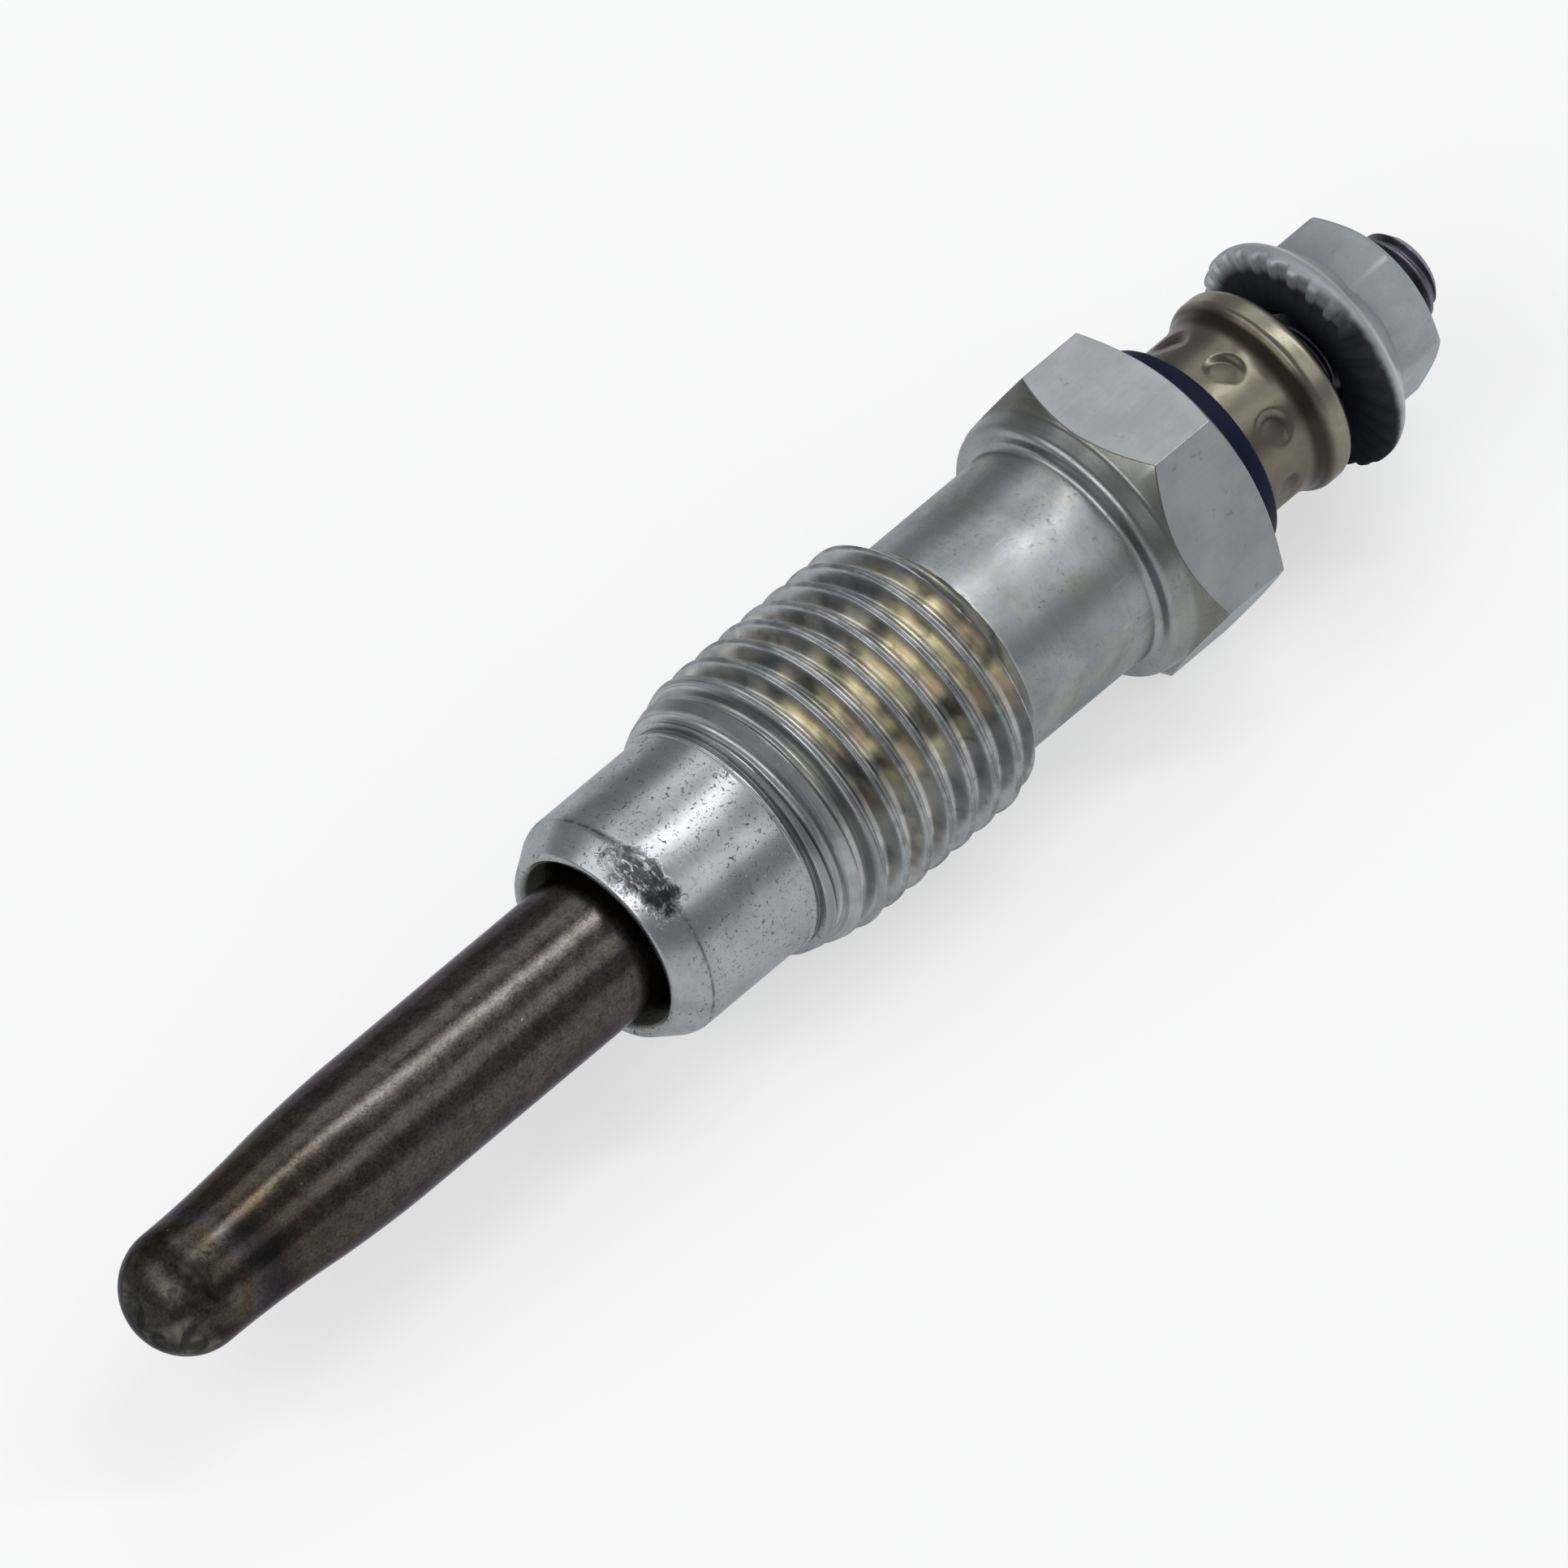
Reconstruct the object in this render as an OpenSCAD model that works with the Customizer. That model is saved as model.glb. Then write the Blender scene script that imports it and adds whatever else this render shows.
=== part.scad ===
// Sheathed-element diesel glow plug, lying on one flat of its hexagon.
// The axis runs along X with the heater tip at -X and the terminal at +X. Sizes are in millimetres.
// Every sub-part is modelled upright on Z, with z counted from the heater tip, and laid down at the end.

/* [Heater sheath] */
// Diameter of the hot tip
tip_d = 5.2; // [4.8:0.1:5.8]
// Length of the straight tip, counted from its rounded end
tip_len = 5.2; // [4:0.1:7]
// Length of the soft taper between tip and sheath
taper_len = 5.4; // [3:0.1:7]
// Diameter of the sheath behind the taper
sheath_d = 6.2; // [6:0.1:6.8]
// Wall thickness of the sheath
sheath_wall = 0.7; // [0.5:0.05:0.8]
// Length of sheath that stands out of the body
sheath_reach = 25; // [22:0.5:34]
// Length of sheath pressed into the body
grip_len = 13; // [10:0.5:15]

/* [Heating element] */
// Wire diameter of both coils
wire_d = 0.4; // [0.3:0.05:0.45]
// Thickness of magnesia between a coil and the sheath
powder_wall = 0.4; // [0.3:0.05:0.5]
// Distance of the first full heating turn from the tip
coil_start = 3; // [2.6:0.1:3.6]
// Length of the heating coil
heating_len = 7.5; // [6:0.5:9]
// Rise of one heating turn
heating_pitch = 0.85; // [0.7:0.05:1.2]
// Length of the regulating coil
regulating_len = 13.5; // [10:0.5:16]
// Rise of one regulating turn
regulating_pitch = 1; // [0.7:0.05:1.4]
// Length of the stud nose that the regulating coil is welded to
nose_len = 2.4; // [1.5:0.1:3]
// Length of the rubber seal in the open end of the sheath
sheath_seal_len = 3.5; // [2:0.5:5]
// Rubber thickness of that seal around the stud
sheath_seal_wall = 0.9; // [0.7:0.05:1]

/* [Plug body] */
// Outer diameter of the thin lip around the mouth
lip_d = 8.4; // [8:0.1:9]
// Radial air gap between sheath and mouth
mouth_gap = 0.65; // [0.3:0.05:0.8]
// Depth of the open mouth around the sheath
mouth_depth = 6; // [4:0.5:9]
// Full angle of the sealing cone
seat_angle = 63; // [50:1:90]
// Diameter of the nozzle in front of the thread
nozzle_d = 10; // [9.6:0.1:10.2]
// Length of the nozzle from the mouth to the thread
nozzle_len = 7.1; // [5:0.1:12]
// Outer diameter of the thread
thread_d = 12; // [11.8:0.1:13]
// Pitch of the thread
thread_pitch = 1.25; // [1:0.25:1.5]
// Length of the thread with its lead-in and run-out
thread_len = 12; // [9:0.1:18]
// Diameter of the thread at its front edge
lead_in_d = 10.7; // [10.5:0.1:11.4]
// Length over which the thread grows to its full diameter
lead_in_len = 2.3; // [1:0.1:3]
// Distance of the first crest from the nozzle
first_crest = 1.15; // [0.9:0.05:1.4]
// Diameter of the plain neck behind the thread
neck_d = 9.85; // [9:0.05:10.2]
// Length of the plain neck
neck_len = 6.95; // [4:0.05:14]

/* [Hexagon] */
// Width across the flats
hex_af = 12; // [11.8:0.1:14]
// Whole length of collar and hexagon
hex_len = 5.6; // [5:0.1:9]
// Diameter of the collar at its front edge
collar_d = 11.6; // [11:0.1:11.8]
// Diameter of the collar where the corners start
collar_end_d = 11.9; // [11.8:0.1:12.6]
// Length of the collar in front of the corners
collar_len = 1; // [0.9:0.05:2.5]
// Slope of the front corner chamfer against the end plane
front_slope = 40; // [30:1:45]
// Slope of the rear corner chamfers against the end planes
corner_slope = 30; // [20:1:40]
// Diameter of the flat rear face inside the corner chamfer
rear_face_d = 11.3; // [10.4:0.1:11.6]
// Radius of the fillet between neck and collar
neck_fillet = 0.3; // [0.1:0.05:0.4]
// Radius of the rounded front edge of the collar
collar_round = 0.35; // [0.1:0.05:0.4]

/* [Terminal insulation] */
// Diameter of the insulating washer
washer_d = 9.6; // [8.6:0.1:10.4]
// Thickness of the washer outside the body
washer_t = 1.25; // [0.8:0.05:2.5]
// Length of the washer spigot inside the body
spigot_len = 1.2; // [0.8:0.1:2]
// Diameter of the bore for spigot and sealing ring
seal_bore_d = 7.4; // [6.8:0.1:8]
// Radial air gap between stud and body
stud_air = 0.6; // [0.4:0.05:0.7]

/* [Round nut] */
// Diameter of the crimped drum
drum_d = 7.8; // [7.2:0.1:8.4]
// Diameter of the rear bead
bead_d = 8.8; // [8.5:0.1:9.4]
// Length of the round nut
round_nut_len = 4.75; // [4.2:0.05:6]
// Length of the bead at the rear
bead_len = 1.05; // [0.9:0.05:2]
// Length of the hollow flare between drum and bead
flare_len = 1.2; // [0.8:0.05:1.3]
// Number of crimp marks around the drum
crimp_count = 8; // [4:1:9]
// Diameter of a crimp mark
crimp_d = 1.9; // [1.4:0.1:2]
// Depth of a crimp mark in the drum
crimp_depth = 0.22; // [0.1:0.02:0.4]
// Turn of the crimp marks about the axis
crimp_turn = 11.5; // [0:0.5:45]

/* [Terminal nut and stud] */
// Space for a cable lug between the two nuts
lug_gap = 1.35; // [0.8:0.05:3]
// Width of the terminal nut across its flats
nut_af = 7; // [6.5:0.1:8]
// Whole height of the terminal nut
nut_h = 4.35; // [3.8:0.05:6]
// Diameter of its flange
flange_d = 10; // [9.4:0.1:11]
// Thickness of the flange at its rim
flange_rim = 0.8; // [0.6:0.05:1]
// Number of locking teeth under the flange
tooth_count = 28; // [16:1:30]
// Depth of a tooth at the rim
tooth_depth = 0.3; // [0.1:0.02:0.36]
// Turn of the nut about the stud, as it came to rest when it was tightened
nut_turn = 51; // [0:1:60]
// Diameter of the terminal stud
stud_d = 4; // [3.6:0.1:4.4]
// Length of stud that stands out of the nut
stud_out = 1.9; // [1.2:0.1:6]
// Size of the chamfer at the stud end
stud_chamfer = 0.5; // [0.2:0.05:0.6]

/* [Fits] */
// Clearance between round faces that are pressed or packed together
fit_gap = 0.02; // [0.01:0.01:0.04]
// Radial clearance between the stud and its nuts
thread_gap = 0.04; // [0.02:0.01:0.08]

/* [Hidden] */
$fn = 96;

// Stations along the axis
thread_z = sheath_reach + nozzle_len;
neck_z = thread_z + thread_len;
collar_z = neck_z + neck_len;
hex_end = collar_z + hex_len;
washer_end = hex_end + washer_t;
round_nut_end = washer_end + round_nut_len;
nut_z = round_nut_end + lug_gap;
nut_end = nut_z + nut_h;
total_len = nut_end + stud_out;
grip_z = sheath_reach + mouth_depth;
sheath_end = grip_z + grip_len;
sheath_seal_z = sheath_end - sheath_seal_len;
join_z = coil_start + heating_len;
coil_end = join_z + regulating_len;
nose_z = coil_end - nose_len;

// Corners of the wire, and straight steps in one turn of a coil
wire_sides = 6;
turn_steps = 12;

// Radii
tip_r = tip_d / 2;
sheath_r = sheath_d / 2;
mouth_r = sheath_r + mouth_gap;
nozzle_r = nozzle_d / 2;
thread_r = thread_d / 2;
neck_r = neck_d / 2;
hex_corner_r = hex_af / 2 / cos(30);
stud_r = stud_d / 2;
pin_r = sheath_r - sheath_wall - sheath_seal_wall;
heating_r = tip_r - sheath_wall - powder_wall - wire_d / 2;
regulating_r = sheath_r - sheath_wall - 1.5 * powder_wall - wire_d / 2;
nose_r = regulating_r * cos(180 / turn_steps) - wire_d / 2 - fit_gap;
seal_bore_r = seal_bore_d / 2;
ring_r = (seal_bore_r - stud_r) / 2 - fit_gap;
ring_z = hex_end - spigot_len - 2 * ring_r - fit_gap;

// Thread form with a sixty degree flank, a crest of an eighth of the pitch and a flat root
root_r = thread_r - 0.6134 * thread_pitch;
crest_half = thread_pitch / 16;
ring_room = thread_len - first_crest - ridge_half(root_r) - root_r + neck_r;
ring_count = floor(ring_room / thread_pitch) + 1;

// The plug lies with its lower flat, or its thread where that is larger, on z = 0
rest_height = max(hex_af / 2, thread_r);

// An arc as a list of points
function arc(centre, r, from, to, steps = 6) = [
    for (i = [0:steps])
        let (a = from + (to - from) * i / steps)
        centre + r * [cos(a), sin(a)]
];

// Points in the opposite order
function reversed(points) = [for (i = [len(points) - 1:-1:0]) points[i]];

// Smooth growth from 0 to 1
function ease(u) = u * u * (3 - 2 * u);

// Rounded end of the tip with its small flat, drawn in by a distance
function tip_end(inset) =
    let (
        r = tip_r - inset,
        flat = 84
    )
    concat(
        [[0, inset]],
        arc([0, inset + r * sin(flat)], r, -flat, 0, 10)
    );

// Outline of the sheath from the tip to the open end, drawn in by a distance
function sheath_side(inset, end) = concat(
    tip_end(inset),
    [
        for (i = [0:10])
            [tip_r - inset + (sheath_r - tip_r) * ease(i / 10), tip_len + taper_len * i / 10]
    ],
    [[sheath_r - inset, end]]
);

// Largest radius of the thread at a station
function thread_limit(z) = min(
    thread_r,
    lead_in_d / 2 + (thread_r - lead_in_d / 2) * (z - thread_z) / lead_in_len,
    neck_r + neck_z - z
);

// Half the width of a thread ridge at a radius
function ridge_half(r) = crest_half + (thread_r - r) * tan(30);

// One ridge of the thread
function ridge(z) =
    let (top = thread_limit(z))
    [
        [root_r, z - ridge_half(root_r)],
        [top, z - ridge_half(top)],
        [top, z + ridge_half(top)],
        [root_r, z + ridge_half(root_r)]
    ];

// All ridges, one behind the other
function ridges() = [
    for (i = [0:ring_count - 1])
        for (p = ridge(thread_z + first_crest + i * thread_pitch))
            p
];

// A wire coil as a centre line that starts with a steep lead and runs on at its pitch
function coil_line(r_start, r_end, z_start, z_end, pitch, lead) =
    let (
        turns = (z_end - z_start) / pitch,
        steps = ceil(turns * turn_steps)
    )
    concat(
        lead > 0 ? [for (i = [0:2]) [heating_lead(i / 3), z_start - lead * (1 - i / 3), r_start]] : [],
        [
            for (i = [0:steps])
                let (u = i / steps)
                [
                    360 * turns * u,
                    z_start + (z_end - z_start) * u,
                    r_start + (r_end - r_start) * min(1, u * turns)
                ]
        ]
    );

// Angle of the lead before the first turn
function heating_lead(u) = 75 * (u - 1);

// A point of the centre line in space
function spot(p) = [p[2] * cos(p[0]), p[2] * sin(p[0]), p[1]];

// Direction of the centre line at a point
function along(line, i) =
    let (
        a = spot(line[max(i - 1, 0)]),
        b = spot(line[min(i + 1, len(line) - 1)])
    )
    (b - a) / norm(b - a);

// The wire's corners around every point of the centre line
function wire_skin(line) = [
    for (i = [0:len(line) - 1])
        let (
            out = [cos(line[i][0]), sin(line[i][0]), 0],
            side = cross(along(line, i), out)
        )
        for (k = [0:wire_sides - 1])
            spot(line[i]) + wire_d / 2 * (cos(360 * k / wire_sides) * out + sin(360 * k / wire_sides) * side)
];

// Faces between the rings of corners, and the two ends
function wire_faces(rings) = concat(
    [
        for (i = [0:rings - 2])
            for (k = [0:wire_sides - 1])
                let (
                    a = i * wire_sides + k,
                    b = i * wire_sides + (k + 1) % wire_sides
                )
                each [[a, a + wire_sides, b], [b, a + wire_sides, b + wire_sides]]
    ],
    [
        [for (k = [0:wire_sides - 1]) k],
        [for (k = [wire_sides - 1:-1:0]) (rings - 1) * wire_sides + k]
    ]
);

module wire(line) {
    polyhedron(points = wire_skin(line), faces = wire_faces(len(line)), convexity = 10);
}

// A solid of revolution between two radii and two stations
module sleeve(r_in, r_out, from, to) {
    rotate_extrude()
        translate([r_in, from])
            square([r_out - r_in, to - from]);
}

// A hexagonal bar with one flat facing down once the plug is laid on its side
module hex_bar(across, from, to) {
    translate([0, 0, from])
        rotate(30)
            cylinder(d = across / cos(30), h = to - from, $fn = 6);
}

// Lays an upright sub-part down along X
module laid() {
    translate([-total_len / 2, 0, rest_height])
        rotate([0, 90, 0])
            children();
}

// Nozzle, sealing cone, thread and neck
module shaft() {
    seat_len = (nozzle_r - lip_d / 2) / tan(seat_angle / 2);
    rotate_extrude()
        polygon(concat(
            [
                [0, sheath_reach],
                [lip_d / 2, sheath_reach],
                [nozzle_r, sheath_reach + seat_len],
                [nozzle_r, thread_z],
                [root_r, thread_z]
            ],
            ridges(),
            [
                [root_r, neck_z - root_r + neck_r],
                [neck_r, neck_z]
            ],
            reversed(arc([neck_r + neck_fillet, collar_z - neck_fillet], neck_fillet, 90, 180)),
            [
                [neck_r + neck_fillet, collar_z + collar_len],
                [0, collar_z + collar_len]
            ]
        ));
}

// Turned collar and chamfers that the hexagon is cut down to
module head_turning() {
    over = hex_corner_r + 0.3;
    collar_end = collar_z + collar_len;
    rotate_extrude()
        polygon(concat(
            [[0, collar_z]],
            arc([collar_d / 2 - collar_round, collar_z + collar_round], collar_round, -90, 0),
            [
                [collar_end_d / 2, collar_end],
                [over, collar_end + (over - collar_end_d / 2) * tan(front_slope)],
                [over, hex_end - (over - rear_face_d / 2) * tan(corner_slope)],
                [rear_face_d / 2, hex_end],
                [0, hex_end]
            ]
        ));
}

// Everything that is bored out of the body
module body_bores() {
    bore_r = stud_r + stud_air;
    press_r = sheath_r + fit_gap;
    lip_edge = 0.2;
    rotate_extrude()
        polygon([
            [0, sheath_reach - 1],
            [mouth_r + lip_edge, sheath_reach - 1],
            [mouth_r + lip_edge, sheath_reach],
            [mouth_r, sheath_reach + lip_edge],
            [mouth_r, grip_z - mouth_r + press_r],
            [press_r, grip_z],
            [press_r, sheath_end],
            [bore_r, sheath_end],
            [bore_r, ring_z],
            [seal_bore_r, ring_z],
            [seal_bore_r, hex_end + 1],
            [0, hex_end + 1]
        ]);
}

module plug_body() {
    color([0.70, 0.72, 0.74])
        laid()
            difference() {
                union() {
                    shaft();
                    intersection() {
                        head_turning();
                        hex_bar(hex_af, collar_z, hex_end);
                    }
                }
                body_bores();
            }
}

module heater_sheath() {
    color([0.36, 0.33, 0.31])
        laid()
            rotate_extrude()
                polygon(concat(
                    sheath_side(0, sheath_end),
                    reversed(sheath_side(sheath_wall, sheath_end))
                ));
}

module heating_coil() {
    inner_r = tip_r - sheath_wall;
    lead = coil_start - tip_r + sqrt(pow(inner_r, 2) - pow(heating_r + wire_d / 2, 2)) - wire_d / 2;
    color([0.55, 0.48, 0.40])
        laid()
            wire(coil_line(heating_r, heating_r, coil_start, join_z, heating_pitch, lead));
}

module regulating_coil() {
    weld_turn = 360 * heating_len / heating_pitch + 6;
    color([0.62, 0.60, 0.56])
        laid()
            rotate(weld_turn)
                wire(coil_line(heating_r, regulating_r, join_z, coil_end, regulating_pitch, 0));
}

// Space in the packed powder for both coils and for the front of the stud
module coil_space() {
    half = wire_d / 2 + 2 * fit_gap;
    heating_in = heating_r * cos(180 / turn_steps) - half;
    heating_out = heating_r + half;
    regulating_in = regulating_r * cos(180 / turn_steps) - half;
    regulating_out = regulating_r + half;
    first_turn_end = join_z + regulating_pitch + wire_d;
    lead_turn = 120;
    rotate_extrude()
        polygon([
            [heating_in, coil_start - wire_d],
            [heating_out, coil_start - wire_d],
            [heating_out, join_z - wire_d],
            [regulating_out, join_z - wire_d],
            [regulating_out, coil_end + wire_d],
            [pin_r + fit_gap, coil_end + wire_d],
            [pin_r + fit_gap, sheath_seal_z + 1],
            [0, sheath_seal_z + 1],
            [0, nose_z - fit_gap],
            [regulating_in, nose_z - fit_gap],
            [regulating_in, first_turn_end],
            [heating_in, first_turn_end]
        ]);
    rotate(20 - lead_turn)
        rotate_extrude(angle = lead_turn)
            translate([heating_in + fit_gap, 0])
                square([heating_out - heating_in - 2 * fit_gap, coil_start]);
}

module insulating_powder() {
    color([0.93, 0.92, 0.88])
        laid()
            difference() {
                rotate_extrude()
                    polygon(concat(
                        sheath_side(sheath_wall + fit_gap, sheath_seal_z),
                        [[0, sheath_seal_z]]
                    ));
                coil_space();
            }
}

module sheath_seal() {
    color([0.13, 0.12, 0.12])
        laid()
            sleeve(pin_r + fit_gap, sheath_r - sheath_wall - fit_gap, sheath_seal_z, sheath_end);
}

module terminal_stud() {
    step_z = sheath_end + 1;
    color([0.45, 0.44, 0.47])
        laid()
            rotate_extrude()
                polygon([
                    [0, nose_z],
                    [nose_r, nose_z],
                    [nose_r, coil_end + wire_d],
                    [pin_r, coil_end + wire_d],
                    [pin_r, step_z],
                    [stud_r, step_z + stud_r - pin_r],
                    [stud_r, total_len - stud_chamfer],
                    [stud_r - stud_chamfer, total_len],
                    [0, total_len]
                ]);
}

module sealing_ring() {
    color([0.10, 0.10, 0.10])
        laid()
            rotate_extrude()
                translate([stud_r + fit_gap + ring_r, ring_z + ring_r])
                    circle(r = ring_r);
}

module insulating_washer() {
    edge = 0.15;
    bore_r = stud_r + fit_gap;
    color([0.06, 0.08, 0.13])
        laid()
            rotate_extrude()
                polygon([
                    [bore_r, hex_end - spigot_len],
                    [seal_bore_r - fit_gap, hex_end - spigot_len],
                    [seal_bore_r - fit_gap, hex_end],
                    [washer_d / 2 - edge, hex_end],
                    [washer_d / 2, hex_end + edge],
                    [washer_d / 2, washer_end - edge],
                    [washer_d / 2 - edge, washer_end],
                    [bore_r, washer_end]
                ]);
}

module round_nut() {
    drum_r = drum_d / 2;
    bead_r = bead_d / 2;
    front_edge = 0.2;
    rear_edge = 0.45;
    bore_r = stud_r + thread_gap;
    flare_end = round_nut_end - bead_len;
    flare_z = flare_end - flare_len;
    color([0.68, 0.68, 0.62])
        laid()
            difference() {
                rotate_extrude()
                    polygon(concat(
                        [
                            [bore_r, washer_end],
                            [drum_r - front_edge, washer_end],
                            [drum_r, washer_end + front_edge]
                        ],
                        [
                            for (i = [0:6])
                                [drum_r + (bead_r - drum_r) * ease(i / 6), flare_z + flare_len * i / 6]
                        ],
                        arc([bead_r - rear_edge, round_nut_end - rear_edge], rear_edge, 0, 90),
                        [[bore_r, round_nut_end]]
                    ));
                for (i = [0:crimp_count - 1])
                    rotate(crimp_turn + i * 360 / crimp_count)
                        translate([drum_r - crimp_depth, 0, flare_z - crimp_d / 2])
                            rotate([0, 90, 0])
                                cylinder(d = crimp_d, h = bead_d);
            }
}

// One sloping groove between two locking teeth
module tooth_groove() {
    reach = flange_d * 0.2;
    width = 0.6 * PI * flange_d / tooth_count;
    slope = atan(0.8 * tooth_depth / reach);
    translate([flange_d / 2, 0, nut_z + tooth_depth])
        rotate([0, -slope, 0])
            rotate([90, 0, -90])
                translate([0, 0, -0.3])
                    linear_extrude(height = reach + 0.3)
                        polygon([
                            [-width / 2, -2 * tooth_depth],
                            [width / 2, -2 * tooth_depth],
                            [width / 2, -0.3 * tooth_depth],
                            [-width / 2, 0]
                        ]);
}

// Flange with its rounded rim and the cone that leads up to the hexagon
module nut_flange() {
    flange_r = flange_d / 2;
    rim_round = 0.3 * flange_rim;
    cone_slope = 48;
    cone_top = nut_z + flange_rim + (flange_r - nut_af / 2) * tan(cone_slope);
    rotate_extrude()
        polygon(concat(
            [[0, nut_z]],
            arc([flange_r - rim_round, nut_z + rim_round], rim_round, -90, 0, 4),
            arc([flange_r - rim_round, nut_z + flange_rim - rim_round], rim_round, 0, 90 - cone_slope, 4),
            [
                [nut_af / 2 - 0.3, cone_top],
                [0, cone_top]
            ]
        ));
}

// Hexagon of the terminal nut with its chamfered top
module nut_hex() {
    top_r = 0.47 * nut_af;
    over = nut_af / 2 / cos(30) + 0.1;
    intersection() {
        hex_bar(nut_af, nut_z + flange_rim / 2, nut_end);
        rotate_extrude()
            polygon([
                [0, nut_z],
                [over, nut_z],
                [over, nut_end - (over - top_r) * tan(corner_slope)],
                [top_r, nut_end],
                [0, nut_end]
            ]);
    }
}

// Bore of the terminal nut, countersunk at both ends
module nut_bore() {
    bore_r = stud_r + thread_gap;
    sink = 0.35;
    rotate_extrude()
        polygon([
            [0, nut_z - 1],
            [bore_r + sink, nut_z - 1],
            [bore_r + sink, nut_z],
            [bore_r, nut_z + sink],
            [bore_r, nut_end - sink],
            [bore_r + sink, nut_end],
            [bore_r + sink, nut_end + 1],
            [0, nut_end + 1]
        ]);
}

module terminal_nut() {
    color([0.72, 0.74, 0.78])
        laid()
            rotate(nut_turn)
                difference() {
                    union() {
                        nut_flange();
                        nut_hex();
                    }
                    nut_bore();
                    for (i = [0:tooth_count - 1])
                        rotate((i + 0.5) * 360 / tooth_count)
                            tooth_groove();
                }
}

plug_body();
heater_sheath();
heating_coil();
regulating_coil();
insulating_powder();
sheath_seal();
terminal_stud();
sealing_ring();
insulating_washer();
round_nut();
terminal_nut();
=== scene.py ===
"""Looks of a diesel glow plug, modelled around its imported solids.

Every piece is turned, wound or cut in millimetres around the plug's axis, which lies along X,
and is then set into the frame of the solids, in metres.
"""

import logging
import math
from dataclasses import dataclass, field
from enum import Enum
from typing import Callable, Optional, Sequence, Union

import bmesh
import bpy
from mathutils import Matrix, Vector


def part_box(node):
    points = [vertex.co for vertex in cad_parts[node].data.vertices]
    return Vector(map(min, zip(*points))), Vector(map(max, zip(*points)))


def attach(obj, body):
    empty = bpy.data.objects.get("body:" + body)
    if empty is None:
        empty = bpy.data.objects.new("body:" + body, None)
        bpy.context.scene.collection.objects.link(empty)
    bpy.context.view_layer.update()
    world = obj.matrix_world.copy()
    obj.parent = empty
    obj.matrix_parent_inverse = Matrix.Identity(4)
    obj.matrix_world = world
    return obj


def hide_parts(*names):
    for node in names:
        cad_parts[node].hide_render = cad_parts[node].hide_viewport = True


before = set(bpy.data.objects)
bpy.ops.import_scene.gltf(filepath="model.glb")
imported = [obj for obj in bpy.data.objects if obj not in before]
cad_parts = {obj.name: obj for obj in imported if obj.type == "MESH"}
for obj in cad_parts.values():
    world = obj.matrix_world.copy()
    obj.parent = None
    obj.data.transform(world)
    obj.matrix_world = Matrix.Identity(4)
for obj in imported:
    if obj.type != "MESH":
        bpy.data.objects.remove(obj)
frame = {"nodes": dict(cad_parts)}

MM = 0.001
PHOTO_WIDTH = 1932
DEPTH_PER_PITCH = 0.6134
LOG = logging.getLogger("glow_plug")

Colour = tuple[float, float, float]
Range = tuple[float, float]
Number = Union["Value", float]
Feed = Union["Value", float, Sequence[float]]


class Slot(Enum):
    """Material slots of the pieces that are built here."""

    BODY = "zinc_plated_steel"
    SHEATH = "sheath_alloy"
    STUD = "stud_steel"
    WASHER = "washer_plastic"
    ROUND_NUT = "round_nut_steel"
    TERMINAL_NUT = "terminal_nut_steel"


class Noise(Enum):
    """Seeds that keep the patterns apart: each is an offset in texture space."""

    CLOUDS = 3.1
    GRAIN = 17.7
    LINES = 29.3
    SPECKS = 41.9
    BLOTS = 58.3
    SCRATCHES = 71.1
    TINT = 83.7
    WEAR = 97.9
    STREAKS = 113.3
    PATCHES = 131.7


def add_object(name: str, data: bpy.types.ID) -> bpy.types.Object:
    """Adds an object to the scene.

    Args:
        name: its name.
        data: its mesh, lamp or camera.

    Returns:
        The object.
    """
    made = bpy.data.objects.new(name, data)
    bpy.context.scene.collection.objects.link(made)
    return made


def operator(operation: str, swapped: bool = False) -> Callable[["Value", Number], "Value"]:
    """Makes a method of Value that adds one Math node.

    Args:
        operation: the Math node's operation.
        swapped: whether the other number comes first.

    Returns:
        The method.
    """

    def combine(value: "Value", other: Number) -> "Value":
        """Joins a value with another one."""
        pair = (other, value) if swapped else (value, other)
        return value.graph.node("ShaderNodeMath", {"operation": operation}, dict(enumerate(pair)))

    return combine


class Value:
    """A node socket that takes part in Python expressions."""

    __add__ = operator("ADD")
    __sub__ = operator("SUBTRACT")
    __rsub__ = operator("SUBTRACT", swapped=True)
    __mul__ = operator("MULTIPLY")
    __truediv__ = operator("DIVIDE")
    __pow__ = operator("POWER")
    lowest = operator("MINIMUM")
    highest = operator("MAXIMUM")

    def __init__(self, graph: "Graph", socket: bpy.types.NodeSocket) -> None:
        """Keeps the socket and the graph that it belongs to."""
        self.graph = graph
        self.socket = socket


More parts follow.
